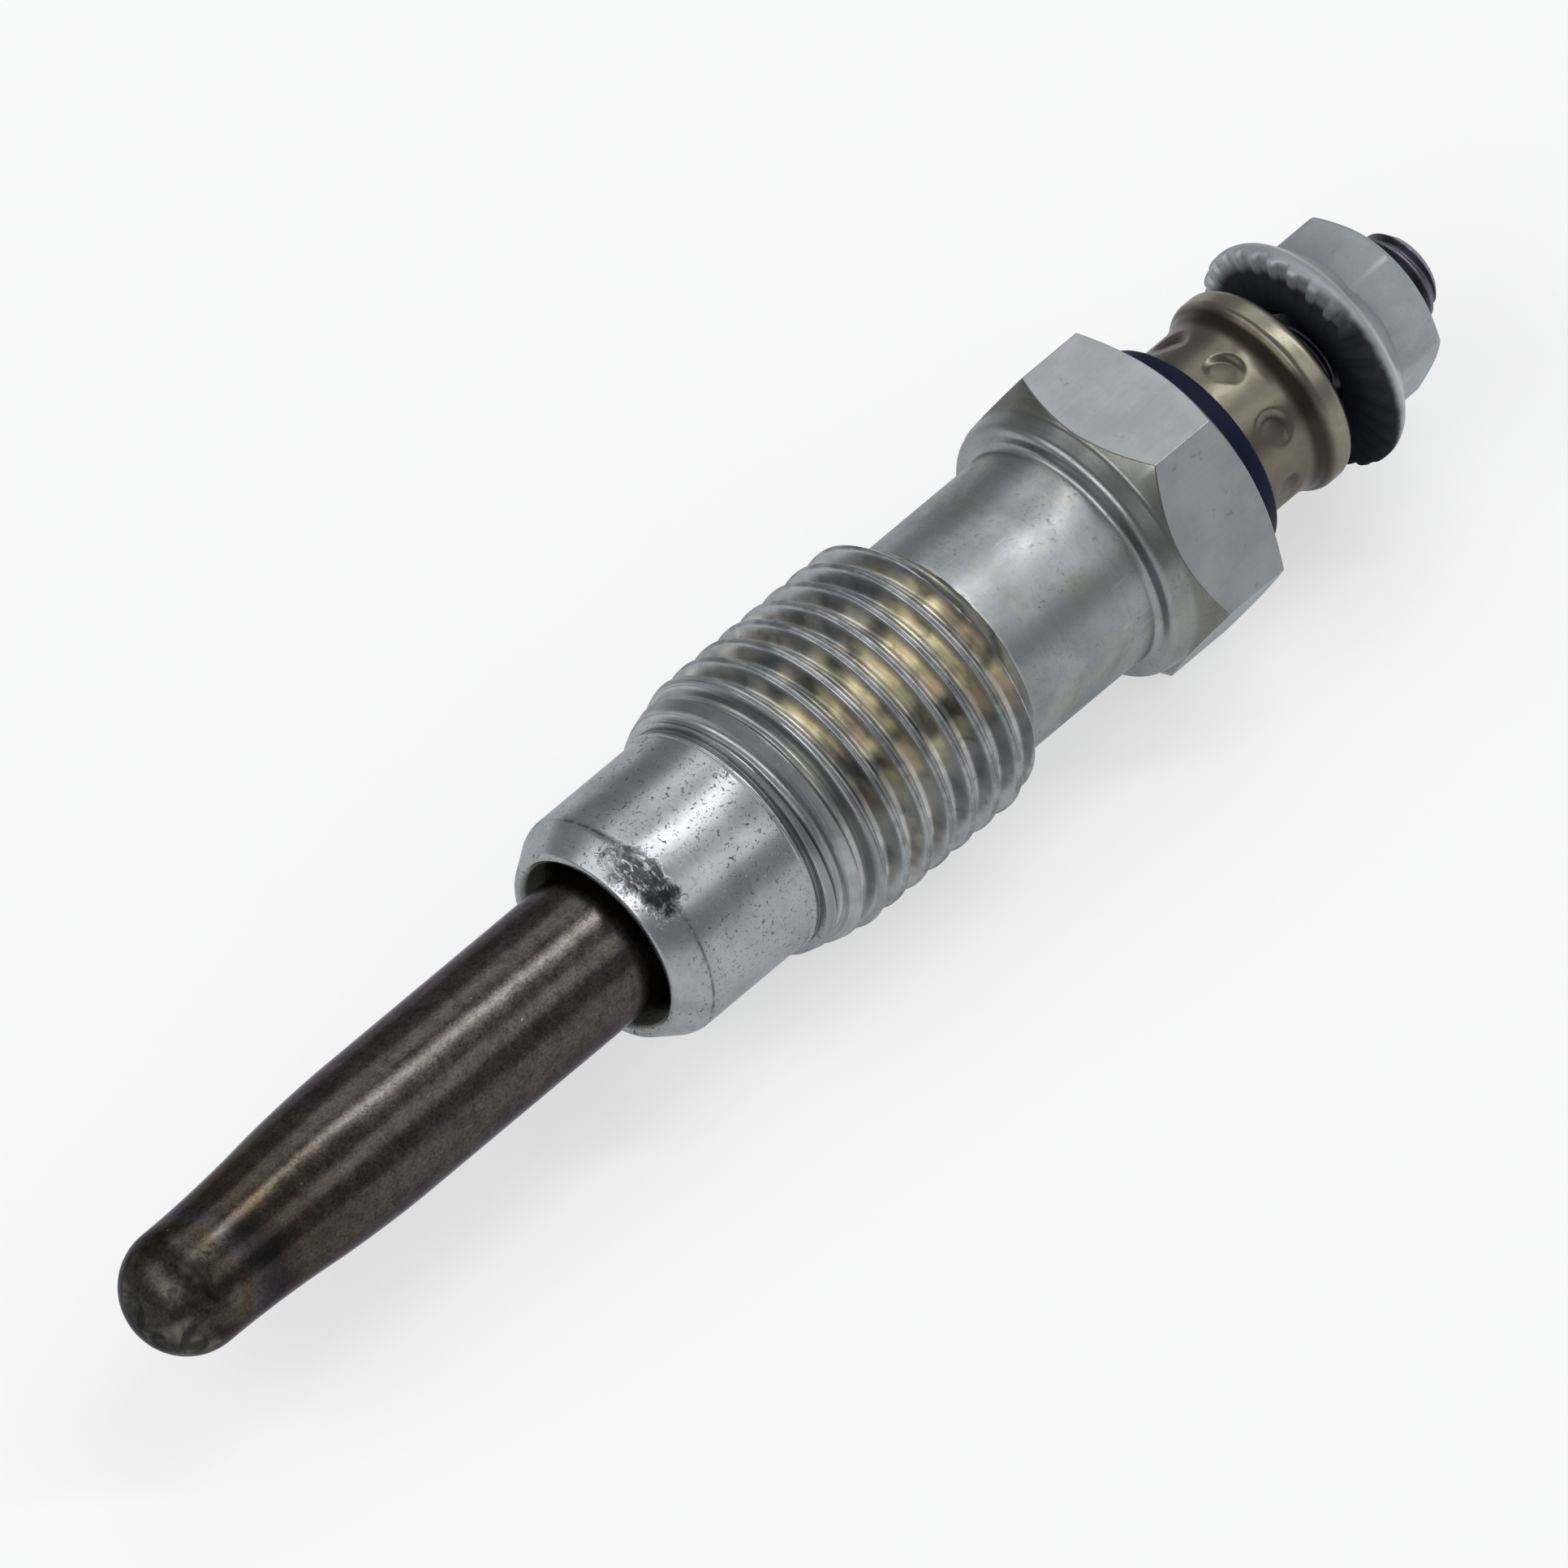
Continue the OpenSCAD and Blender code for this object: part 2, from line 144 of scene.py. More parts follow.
class Graph:
    """The nodes of one material, lamp or world."""

    def __init__(self, tree: bpy.types.NodeTree) -> None:
        """Starts from an empty tree."""
        self.tree = tree
        self.tree.nodes.clear()

    def node(
        self,
        kind: str,
        settings: Optional[dict[str, object]] = None,
        inputs: Optional[dict[Union[int, str], Feed]] = None,
        output: int = 0,
    ) -> Value:
        """Makes any node.

        Args:
            kind: the node's type.
            settings: its settings, which are set first; stops are the stops of a ramp.
            inputs: values or links of its sockets, by name or by number.
            output: number of the output that is returned.

        Returns:
            The chosen output.
        """
        made = self.tree.nodes.new(kind)
        for key, setting in (settings or {}).items():
            if key == "stops":
                self._set_stops(made.color_ramp, setting)
            else:
                setattr(made, key, setting)
        for key, feed in (inputs or {}).items():
            self._feed(made.inputs[key], feed)
        if not made.outputs:
            return Value(self, made.inputs[0])
        return Value(self, made.outputs[output])

    def _set_stops(self, ramp: bpy.types.ColorRamp, stops: Sequence[tuple[float, Colour]]) -> None:
        """Gives a ramp its stops.

        Args:
            ramp: the ramp of a node.
            stops: place and colour of each stop, in order.
        """
        while len(ramp.elements) < len(stops):
            ramp.elements.new(1.0)
        for element, (place, colour) in zip(ramp.elements, stops):
            element.position = place
            element.color = (*colour, 1.0)

    def _feed(self, socket: bpy.types.NodeSocket, feed: Feed) -> None:
        """Links a socket or sets its value.

        Args:
            socket: the input.
            feed: what goes into it.
        """
        if isinstance(feed, Value):
            self.tree.links.new(feed.socket, socket)
        elif socket.type == "RGBA":
            socket.default_value = (*feed, 1.0)
        else:
            socket.default_value = feed

    def step(self, value: Number, low: float, high: float) -> Value:
        """Smooth growth from 0 to 1 between two limits; the limits may run downwards.

        Args:
            value: what is measured.
            low: limit where the result is 0.
            high: limit where it is 1.

        Returns:
            The smooth share.
        """
        settings = {"interpolation_type": "SMOOTHSTEP", "clamp": True}
        if low > high:
            return 1.0 - self.node("ShaderNodeMapRange", settings, {0: value, 1: high, 2: low})
        return self.node("ShaderNodeMapRange", settings, {0: value, 1: low, 2: high})

    def _blend(self, kind: str, share: Number, first: Feed, second: Feed) -> Value:
        """Joins two colours.

        Args:
            kind: the Mix node's way of joining.
            share: its strength.
            first: colour at 0.
            second: the other colour.

        Returns:
            The joined colour.
        """
        settings = {"data_type": "RGBA", "blend_type": kind, "clamp_factor": True}
        return self.node("ShaderNodeMix", settings, {0: share, 6: first, 7: second}, output=2)

    def mix(self, share: Number, first: Feed, second: Feed) -> Value:
        """The first colour with a share of the second."""
        return self._blend("MIX", share, first, second)

    def tint(self, share: Number, first: Feed, second: Feed) -> Value:
        """The first colour multiplied by the second, by a share."""
        return self._blend("MULTIPLY", share, first, second)

    def ramp(self, value: Number, stops: Sequence[tuple[float, Colour]]) -> Value:
        """A colour from a row of stops."""
        return self.node("ShaderNodeValToRGB", {"stops": stops}, {0: value})


class Surface(Graph):
    """A material whose patterns are measured in millimetres around the plug's axis.

    Finishes lay their layers on its colour, its roughness and its relief, which is in millimetres.
    """

    def __init__(self, name: str) -> None:
        """Makes the material and its measures.

        Args:
            name: the material's name.
        """
        self.material = bpy.data.materials.new(name)
        self.material.use_nodes = True
        super().__init__(self.material.node_tree)
        place = self.node("ShaderNodeTexCoord", output=3)
        self.point = self.node(
            "ShaderNodeVectorMath",
            {"operation": "MULTIPLY_ADD"},
            {0: place, 1: (1 / MM,) * 3, 2: (0.0, 0.0, -Axis.height())},
        )
        parts = self.tree.nodes.new("ShaderNodeSeparateXYZ")
        self.tree.links.new(self.point.socket, parts.inputs[0])
        self.x, self.y, self.z = (Value(self, parts.outputs[i]) for i in range(3))
        self.r = (self.y * self.y + self.z * self.z) ** 0.5
        self.run = self.x + self.r
        self.colour: Feed = (1.0, 1.0, 1.0)
        self.rough: Number = 0.5
        self.height: Number = 0.0

    def cover(self, share: Number, colour: Feed) -> None:
        """Lays a colour over the one so far, by a share."""
        self.colour = self.mix(share, self.colour, colour)

    def wash(self, share: Number, colour: Feed) -> None:
        """Multiplies the colour so far by another, by a share."""
        self.colour = self.tint(share, self.colour, colour)

    def stretched(self, sizes: Sequence[float], seed: Noise) -> Value:
        """The point with each direction scaled, moved to a place of its own in texture space.

        Args:
            sizes: scale of each direction.
            seed: the place.

        Returns:
            The moved point.
        """
        return self.node(
            "ShaderNodeVectorMath",
            {"operation": "MULTIPLY_ADD"},
            {0: self.point, 1: tuple(sizes), 2: (seed.value,) * 3},
        )

    def noise(self, vector: Value, detail: float = 2.0, rough: float = 0.5, warp: float = 0.0) -> Value:
        """Noise from 0 to 1.

        Args:
            vector: where it is read.
            detail: its octaves.
            rough: weight of the finer ones.
            warp: its distortion.

        Returns:
            The noise, about 0.5 in the middle.
        """
        feeds = {"Vector": vector, "Scale": 1.0, "Detail": detail, "Roughness": rough, "Distortion": warp}
        return self.node("ShaderNodeTexNoise", {"noise_dimensions": "3D"}, feeds)

    def spread(
        self,
        size: float,
        seed: Noise,
        detail: float = 2.0,
        rough: float = 0.5,
        warp: float = 0.0,
    ) -> Value:
        """Even noise with so many cells in a millimetre."""
        return self.noise(self.stretched((size,) * 3, seed), detail, rough, warp)

    def rings(self, per_mm: float, drift: float) -> Value:
        """Lines left by turning: they run round the axis on walls and on end faces alike.

        Args:
            per_mm: lines in a millimetre.
            drift: how soon they change round the axis.

        Returns:
            The noise, about 0.5 in the middle.
        """
        vector = self.node(
            "ShaderNodeCombineXYZ",
            None,
            {0: self.run * per_mm + Noise.LINES.value, 1: self.y * drift, 2: self.z * drift},
        )
        return self.noise(vector, 3.0, 0.6)

    def flecks(self, per_mm: float, share: float, seed: Noise, soft: float = 0.04) -> Value:
        """Small ragged spots.

        Args:
            per_mm: cells in a millimetre.
            share: threshold, lower for more spots.
            seed: place in texture space.
            soft: width of their edges.

        Returns:
            1 on a spot, 0 elsewhere.
        """
        return self.step(self.spread(per_mm, seed, 3.0, 0.62, 0.4), share, share + soft)

    def streaks(self, along: float, across: float, seed: Noise) -> Value:
        """Noise drawn out along the axis, as left by handling and by drawing the bar."""
        return self.noise(self.stretched((along, across, across), seed), 3.0, 0.6, 0.3)

    def facing(self, angle: float) -> Value:
        """How far the wall looks in a direction round the axis: 1 straight at it, -1 away from it.

        Args:
            angle: the direction in degrees, from Y towards Z.

        Returns:
            The cosine of the turn to it.
        """
        turn = math.radians(angle)
        return (self.y * math.cos(turn) + self.z * math.sin(turn)) / self.r.highest(0.01)

    def window(self, value: Number, low: float, high: float, edge: float) -> Value:
        """1 between two limits and 0 outside, with soft edges."""
        return self.step(value, low - edge, low + edge) * self.step(value, high + edge, high - edge)

    def finish(self, constants: dict[str, Feed], metal: Number = 1.0) -> bpy.types.Material:
        """Joins colour, roughness and relief in one shader.

        Args:
            constants: other values of the shader.
            metal: 1 for metal.

        Returns:
            The material.
        """
        relief = {"Strength": 1.0, "Distance": MM, "Height": self.height}
        feeds: dict[Union[int, str], Feed] = {
            "Base Color": self.colour,
            "Roughness": self.rough,
            "Metallic": metal,
            "Normal": self.node("ShaderNodeBump", None, relief),
            **constants,
        }
        shader = self.node("ShaderNodeBsdfPrincipled", None, feeds)
        self.node("ShaderNodeOutputMaterial", None, {"Surface": shader})
        return self.material


class Axis:
    """The plug's axis."""

    @staticmethod
    def height() -> float:
        """Height of the axis above the floor, in millimetres."""
        low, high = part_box("plug_body")
        return (low.z + high.z) / 2 / MM


@dataclass(frozen=True)
class Span:
    """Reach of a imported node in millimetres: both ends along the axis, and its radius."""

    front: float
    rear: float
    radius: float

    @classmethod
    def of(cls, node: str) -> "Span":
        """Reads a node's box."""
        low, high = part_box(node)
        return cls(low.x / MM, high.x / MM, (high.y - low.y) / 2 / MM)

    @classmethod
    def field(cls, node: str) -> "Span":
        """A dataclass field that reads a node's box when its class is used."""
        return field(default_factory=lambda: cls.of(node))


@dataclass(frozen=True)
class TurnedZinc:
    """Zinc plate on a turned surface: satin, with fine lines, specks and stains."""

    name: str
    colour: Colour = (0.40, 0.415, 0.425)
    dull: Colour = (0.31, 0.325, 0.335)
    mark: Colour = (0.045, 0.050, 0.066)
    rough: float = 0.25
    line_height: float = 0.0008
    line_tint: float = 0.30
    specks: float = 1.0
    stain: float = 0.5
    edge_tint: Colour = (0.72, 0.73, 0.75)

    def lay(self, s: Surface) -> None:
        """Lays the plate's layers.

        Args:
            s: the surface that they are laid on.
        """
        lines = s.rings(13.0, 0.30) * 0.6 + s.rings(4.5, 0.25) * 0.4
        clouds = s.spread(0.30, Noise.CLOUDS, 4.0, 0.6, 0.6)
        grain = s.spread(8.0, Noise.GRAIN, 2.0, 0.6)
        crowd = self.crowd(s) * self.specks
        dirt_and_shade = s.flecks(4.2, 0.614, Noise.SPECKS).highest(s.flecks(7.0, 0.622, Noise.SCRATCHES) * 0.8)
        dirt_and_shade = dirt_and_shade * crowd
        smudge = s.step(s.spread(0.9, Noise.BLOTS, 5.0, 0.68, 0.8), 0.54, 0.72) * self.stain
        s.colour = s.mix(s.step(clouds, 0.36, 0.66), self.colour, self.dull)
        s.wash((grain - 0.5) * 0.9 + 0.25, (0.84, 0.86, 0.90))
        s.wash(s.step(lines, 0.52, 0.34) * self.line_tint, (0.72, 0.74, 0.78))
        s.wash(smudge * 0.5, (0.66, 0.67, 0.70))
        s.cover(dirt_and_shade * 0.72, self.mark)
        s.rough = s.step(clouds, 0.3, 0.7) * 0.06 + (lines - 0.5) * 0.12 + self.rough
        s.rough = s.rough + dirt_and_shade * 0.20 + smudge * 0.10
        s.height = lines * self.line_height + grain * 0.0004 - dirt_and_shade * 0.006

    def crowd(self, s: Surface) -> Number:
        """How densely the specks lie."""
        return s.step(s.spread(0.35, Noise.PATCHES, 2.0, 0.5), 0.30, 0.62) * 0.7 + 0.3

    def material(self) -> bpy.types.Material:
        """Makes the material.

        Returns:
            The material.
        """
        s = Surface(self.name)
        self.lay(s)
        constants = {"Specular Tint": self.edge_tint, "Specular IOR Level": 0.0}
        return s.finish(constants, metal=self.metal(s))

    def metal(self, s: Surface) -> Number:
        """Share of bare metal: all of it."""
        return 1.0


@dataclass(frozen=True, kw_only=True)
class BodyZinc(TurnedZinc):
    """The body's plate, with tinted thread flanks, matt flats, the seat's worn patch and painted shade
    inside the bore.

    Zones are given by their stations along the axis. Lead-in and corner are slanted lines, each with
    its first station, its radius there and its grade. Shadow and lit_wall are depths behind the mouth.
    """

    thread: Range
    crest_r: float
    lead_in: tuple[float, float, float]
    neck: Range
    collar: Range
    corner: tuple[float, float, float]
    cone_edge: float
    mouth: float
    mouth_r: float
    shadow: Range = (0.9, 2.4)
    lit_wall: Range = (1.9, 0.7)
    speckled: Range = (-2.0, -4.0)
    # Direction of the golden tint and of its painted sheen.
    gold_and_sheen_side: float = 121.0
    burnt_side: float = 160.0
    worn_centre: tuple[float, float, float] = (-9.08, -2.05, 4.25)
    worn_reach: tuple[float, float, float] = (0.78, 2.10, 1.35)

    def lay(self, s: Surface) -> None:
        """Lays the plate's layers with the body's own zones.

        Args:
            s: the surface that they are laid on.
        """
        super().lay(s)
        for lay_zone in (self._stain_neck, self._tint_thread, self._dull_flats, self._wear_seat):
            lay_zone(s)
        # Painted shade: deeper in the bore the walls are covered nearly black and made rougher.
        inside = self._within_mouth(s) * s.step(s.x - self.mouth, *self.shadow)
        bore = s.step(s.r, self.mouth_r + 0.15, self.mouth_r + 0.05)
        s.wash(bore, (0.80, 0.78, 0.66))
        s.cover(inside * 0.97, (0.008, 0.008, 0.010))
        s.rough = s.rough + inside * 0.3

    def metal(self, s: Surface) -> Number:
        """Share of bare metal: little of it just inside the mouth, where the plate is powdery."""
        return 1.0 - self._within_mouth(s) * s.step(s.x - self.mouth, *self.lit_wall) * 0.85

    def crowd(self, s: Surface) -> Number:
        """Specks lie densely on nozzle and cone, and thinly behind the thread."""
        return super().crowd(s) * (s.step(s.x, *self.speckled) * 0.7 + 0.3)

    def _within_mouth(self, s: Surface) -> Value:
        """1 on the walls of the bores, 0 on the outside."""
        return s.step(s.r, self.mouth_r + 0.10, self.mouth_r)

    def _stain_neck(self, s: Surface) -> None:
        """Faint yellow and brown stains on the neck, which is duller than the nozzle.

        Args:
            s: the surface.
        """
        low, high = self.neck
        zone = s.window(s.x, low, high, 0.4)
        warm = s.step(s.spread(0.42, Noise.TINT, 3.0, 0.55, 0.5), 0.44, 0.64) * zone
        s.wash(zone * 0.75, (0.77, 0.78, 0.79))
        s.wash(warm * 0.7, (1.0, 0.96, 0.83))
        rubbed = s.step(s.streaks(0.5, 4.5, Noise.STREAKS), 0.66, 0.72) * zone
        s.cover(rubbed * 0.35, (0.44, 0.43, 0.38))
        dash = s.step(s.streaks(2.2, 1.0, Noise.WEAR), 0.70, 0.74) * zone
        s.cover(dash * 0.6, self.mark)
        s.rough = s.rough + zone * 0.10

    def _tint_thread(self, s: Surface) -> None:
        """Golden and olive patches between the crests, and worn crests. The patches are strongest and palest
        on one side: a real tint with a painted sheen.

        Args:
            s: the surface.
        """
        low, high = self.thread
        zone = s.window(s.x, low, high, 0.25)
        start, start_r, grade = self.lead_in
        top = ((s.x - start) * grade + start_r).lowest(self.crest_r)
        deep = top - s.r
        valley = zone * s.step(deep, 0.04, 0.40)
        side = s.facing(self.gold_and_sheen_side)
        drift = s.spread(0.75, Noise.TINT, 1.0, 0.5)
        blush = s.step(s.spread(0.60, Noise.BLOTS, 1.0, 0.5), 0.50, 0.62)
        around = s.step(s.spread(0.22, Noise.PATCHES, 2.0, 0.5), 0.50, 0.66) * 0.45
        # Painted sheen on a real tint: the golden patches are strongest and palest on one side, where they
        # stand in for a highlight in the valleys.
        strength = (s.step(side, 0.68, 0.94) * s.step(s.x, low, low + 3.4)).highest(around)
        gold_and_sheen = s.ramp(
            drift,
            [
                (0.36, (0.195, 0.198, 0.188)),
                (0.45, (0.390, 0.378, 0.290)),
                (0.54, (0.660, 0.612, 0.430)),
                (0.64, (0.840, 0.795, 0.620)),
            ],
        )
        gold_and_sheen = s.mix(blush * 0.45, gold_and_sheen, (0.680, 0.545, 0.455))
        grey = s.ramp(
            drift,
            [
                (0.34, (0.255, 0.260, 0.270)),
                (0.50, (0.365, 0.373, 0.383)),
                (0.64, (0.430, 0.432, 0.432)),
            ],
        )
        s.cover(valley * 0.85, grey)
        s.cover(valley * strength * 0.88, gold_and_sheen)
        soot = s.flecks(1.1, 0.58, Noise.WEAR, 0.14) * valley
        s.cover(soot * 0.45, (0.095, 0.098, 0.105))
        crest = zone * s.step(deep, 0.12, 0.03)
        worn = s.step(s.spread(0.9, Noise.CLOUDS, 3.0, 0.6), 0.40, 0.62)
        s.cover(crest * 0.8, s.mix(worn, (0.17, 0.178, 0.184), (0.34, 0.352, 0.354)))
        lead = s.window(s.x, start, low + 2.2, 0.2)
        s.cover(lead * 0.5, (0.445, 0.460, 0.450))
        turned = s.step(s.rings(3.5, 0.05), 0.56, 0.46) * lead
        s.cover(turned * 0.55, (0.16, 0.165, 0.185))
        s.rough = s.rough + valley * 0.04 + crest * 0.08

    def _dull_flats(self, s: Surface) -> None:
        """Matt, drawn flats behind the collar.

        Args:
            s: the surface.
        """
        station, radius, grade = self.corner
        flats = s.step((s.x - station) * grade + radius - s.r, 0.02, 0.09)
        drawn = s.streaks(0.7, 6.0, Noise.GRAIN)
        clouds = s.spread(0.40, Noise.CLOUDS, 4.0, 0.6)
        plate = s.mix(s.step(clouds, 0.35, 0.65), (0.40, 0.415, 0.42), (0.34, 0.355, 0.36))
        plate = s.tint((drawn - 0.4) * 0.7, plate, (0.80, 0.82, 0.85))
        scuff = s.flecks(1.5, 0.64, Noise.BLOTS, 0.08)
        plate = s.mix(scuff * 0.4, plate, (0.13, 0.145, 0.17))
        s.cover(flats * 0.9, plate)
        s.rough = s.rough * (1.0 - flats) + flats * (drawn * 0.08 + 0.40)
        s.height = s.height * (1.0 - flats * 0.8) + flats * drawn * 0.0012
        low, high = self.collar
        turned = s.window(s.x, low, high, 0.25) * (1.0 - flats)
        s.wash(turned * 0.9, (0.64, 0.63, 0.58))
        chamfer = turned * s.step(s.x, station - 0.15, station + 0.15)
        s.wash(chamfer, (0.70, 0.69, 0.65))

    def _wear_seat(self, s: Surface) -> None:
        """The dark, rough patch on the sealing cone and the line along the cone's edge.

        Args:
            s: the surface.
        """
        away = s.node("ShaderNodeVectorMath", {"operation": "SUBTRACT"}, {0: s.point, 1: self.worn_centre})
        scaled = s.node("ShaderNodeVectorMath", {"operation": "DIVIDE"}, {0: away, 1: self.worn_reach})
        distance = s.node("ShaderNodeVectorMath", {"operation": "LENGTH"}, {0: scaled}, output=1)
        ragged = s.spread(1.7, Noise.WEAR, 4.0, 0.65, 0.6)
        patch = s.step(distance + (ragged - 0.5) * 2.2, 1.15, 0.55)
        side = s.step(s.facing(self.burnt_side), 0.58, 0.86)
        torn = s.noise(s.stretched((7.0, 2.2, 2.2), Noise.STREAKS), 3.0, 0.65, 0.4)
        fleck = s.step(torn, 0.53, 0.60)
        black = s.flecks(1.3, 0.44, Noise.PATCHES, 0.10) * (side * 0.8 + 0.2)
        soot = s.mix(side, (0.080, 0.082, 0.092), (0.032, 0.033, 0.042))
        soot = s.mix(fleck * (0.95 - side * 0.6), soot, (0.62, 0.62, 0.58))
        soot = s.mix(black * 0.9, soot, (0.010, 0.011, 0.018))
        s.cover(patch * 0.95, soot)
        s.rough = s.rough + patch * 0.16
        s.height = s.height + patch * (torn * 0.05 + fleck * 0.02)
        edge = s.window(s.x, self.cone_edge - 0.05, self.cone_edge + 0.05, 0.05)
        broken = s.step(s.spread(1.1, Noise.LINES, 4.0, 0.7), 0.42, 0.58)
        s.cover(edge * broken * 0.75, self.mark)


@dataclass(frozen=True)
class HeatTintedAlloy:
    """The sheath's nickel alloy: brown-grey, mottled, with tints of heat towards the tip."""

    name: str
    tip: float
    length: float = 30.0
    rough: float = 0.215
    edge_tint: Colour = (0.52, 0.51, 0.55)
    soot_side: float = 155.0

    def material(self) -> bpy.types.Material:
        """Makes the material.

        Returns:
            The material.
        """
        s = Surface(self.name)
        ragged = s.spread(0.45, Noise.CLOUDS, 3.0, 0.6)
        place = (s.x - self.tip + (ragged - 0.5) * 2.6) / self.length
        heat = s.ramp(
            place,
            [
                (0.000, (0.060, 0.060, 0.050)),
                (0.070, (0.066, 0.062, 0.048)),
                (0.105, (0.088, 0.068, 0.047)),
                (0.128, (0.088, 0.086, 0.088)),
                (0.150, (0.070, 0.060, 0.052)),
                (0.190, (0.084, 0.066, 0.048)),
                (0.260, (0.090, 0.076, 0.061)),
                (0.350, (0.098, 0.089, 0.080)),
                (1.000, (0.106, 0.097, 0.088)),
            ],
        )
        grain = s.spread(9.0, Noise.GRAIN, 3.0, 0.7)
        mottle = s.spread(1.5, Noise.BLOTS, 4.0, 0.62, 0.3)
        streak = s.streaks(0.30, 1.6, Noise.LINES)
        s.colour = s.tint(s.step(grain, 0.60, 0.38) * 0.80, heat, (0.55, 0.55, 0.56))
        s.wash(s.step(mottle, 0.60, 0.38) * 0.70, (0.60, 0.58, 0.56))
        s.wash(s.step(streak, 0.56, 0.40) * 0.40, (0.74, 0.72, 0.70))
        tip_zone = s.step(s.x - self.tip + (ragged - 0.5) * 3.0, 4.2, 1.4)
        scale = s.step(s.spread(0.70, Noise.TINT, 2.0, 0.5), 0.52, 0.70) * tip_zone
        s.cover(scale * 0.6, (0.200, 0.200, 0.150))
        char = s.step(s.spread(0.90, Noise.WEAR, 2.0, 0.5, 1.0), 0.46, 0.64) * tip_zone
        s.cover(char * 0.75, (0.014, 0.015, 0.013))
        pits = s.flecks(3.6, 0.585, Noise.SCRATCHES, 0.06)
        s.cover(pits * 0.45, (0.020, 0.019, 0.018))
        ring = s.window(place, 0.140, 0.185, 0.035)
        soot = ring * s.step(s.facing(self.soot_side) + (ragged - 0.5) * 0.8, 0.62, 0.95)
        s.cover(soot * 0.8, (0.012, 0.013, 0.018))
        dust = s.flecks(1.6, 0.74, Noise.SPECKS, 0.03)
        s.cover(dust * 0.7, (0.36, 0.38, 0.38))
        s.rough = (grain - 0.5) * 0.10 + (mottle - 0.5) * 0.10 + tip_zone * 0.10 + self.rough
        s.height = grain * 0.0009 + mottle * 0.0022 - char * 0.006 + scale * 0.004
        return s.finish({"Specular Tint": self.edge_tint})


@dataclass(frozen=True)
class DarkSteel:
    """Dark plated steel of the stud, with a violet cast."""

    name: str
    colour: Colour = (0.170, 0.160, 0.200)
    rough: float = 0.40

    def material(self) -> bpy.types.Material:
        """Makes the material.

        Returns:
            The material.
        """
        s = Surface(self.name)
        lines = s.rings(9.0, 0.4)
        clouds = s.spread(0.8, Noise.CLOUDS, 4.0, 0.6)
        s.colour = s.mix(s.step(clouds, 0.35, 0.7), self.colour, (0.110, 0.104, 0.135))
        s.wash(s.step(lines, 0.55, 0.4) * 0.4, (0.7, 0.7, 0.75))
        s.rough = (lines - 0.5) * 0.12 + self.rough
        s.height = lines * 0.0012 + clouds * 0.004
        return s.finish({})


@dataclass(frozen=True, kw_only=True)
class FlangeZinc(TurnedZinc):
    """The terminal nut's plate: pale, matt, with painted shade on the toothed face and a smoother rim."""

    face: float
    # Near-black colour of the painted shade under the flange.
    dirt_and_shade: Colour = (0.006, 0.007, 0.009)
    shade_depth: float = 0.70
    shade_side: float = 195.0
    shaded_share: Range = (-0.15, 0.45)
    bore_shade: Range = (4.7, 4.0)
    rim: Range = (4.10, 4.45)
    rim_fade: float = 0.2
    polish: Colour = (0.62, 0.63, 0.60)

    def lay(self, s: Surface) -> None:
        """Lays the plate's layers with the painted shade on the face.

        Args:
            s: the surface that they are laid on.
        """
        super().lay(s)
        painted_shade = self._painted_shade(s)
        above = self.face + self.shade_depth
        rim = s.step(s.r, *self.rim) * s.step(s.x, above, above + self.rim_fade)
        s.cover(rim * 0.5, self.polish)
        # Painted shade: the toothed face is covered nearly black, fully on its lower side and round the
        # bore, and loses its metal.
        s.cover(painted_shade * 0.95, self.dirt_and_shade)
        s.rough = s.rough + painted_shade * 0.3 - rim * 0.20

    def metal(self, s: Surface) -> Number:
        """Share of bare metal: none under the painted shade."""
        return 1.0 - self._painted_shade(s)

    def _painted_shade(self, s: Surface) -> Value:
        """How thickly the painted shade lies: all over the lower side and round the bore.

        Args:
            s: the surface.

        Returns:
            1 where nothing shows through.
        """
        ragged = s.spread(1.5, Noise.WEAR, 4.0, 0.6)
        under = s.step(s.x - self.face + (ragged - 0.5) * 0.3, self.shade_depth, self.shade_depth * 0.4)
        inner = s.step(s.r, *self.bore_shade)
        lower = s.step(s.facing(self.shade_side), *self.shaded_share)
        return under * inner.highest(lower * 0.9 + 0.1)


@dataclass(frozen=True, kw_only=True)
class PunchedZinc(TurnedZinc):
    """The round nut's plate: yellowish, with painted shade in the punch marks and in the crease before the
    bead.

    Crease is counted from the bead, and mark_depth is how far a punch mark lies under the drum.
    """

    drum_r: float
    bead: float
    crease: Range = (-0.82, -0.06)
    crease_fade: float = 0.22
    drum_fade: float = 0.3
    mark_depth: Range = (0.05, 0.24)
    # Colour that darkens the crease and the punch marks as painted shade.
    painted_shade: Colour = (0.30, 0.27, 0.27)
    shade: Colour = (0.66, 0.63, 0.63)

    def lay(self, s: Surface) -> None:
        """Lays the plate's layers with the painted shade.

        Args:
            s: the surface that they are laid on.
        """
        super().lay(s)
        drum = s.step(s.x, self.bead, self.bead - self.drum_fade)
        s.wash(drum, self.shade)
        # Painted shade: the crease before the bead and the punch marks are darkened.
        band = s.window(s.x - self.bead, *self.crease, self.crease_fade)
        pressed = s.step(self.drum_r - s.r, *self.mark_depth)
        s.wash(band.highest(pressed * 0.8), self.painted_shade)


@dataclass(frozen=True)
class DrawnWire:
    """Bare resistance wire."""

    name: str
    colour: Colour

    def material(self) -> bpy.types.Material:
        """Makes the material.

        Returns:
            The material.
        """
        s = Surface(self.name)
        grain = s.spread(6.0, Noise.GRAIN, 3.0, 0.6)
        s.colour = s.tint(grain, self.colour, (0.7, 0.68, 0.66))
        s.rough = grain * 0.2 + 0.28
        s.height = grain * 0.001
        return s.finish({})


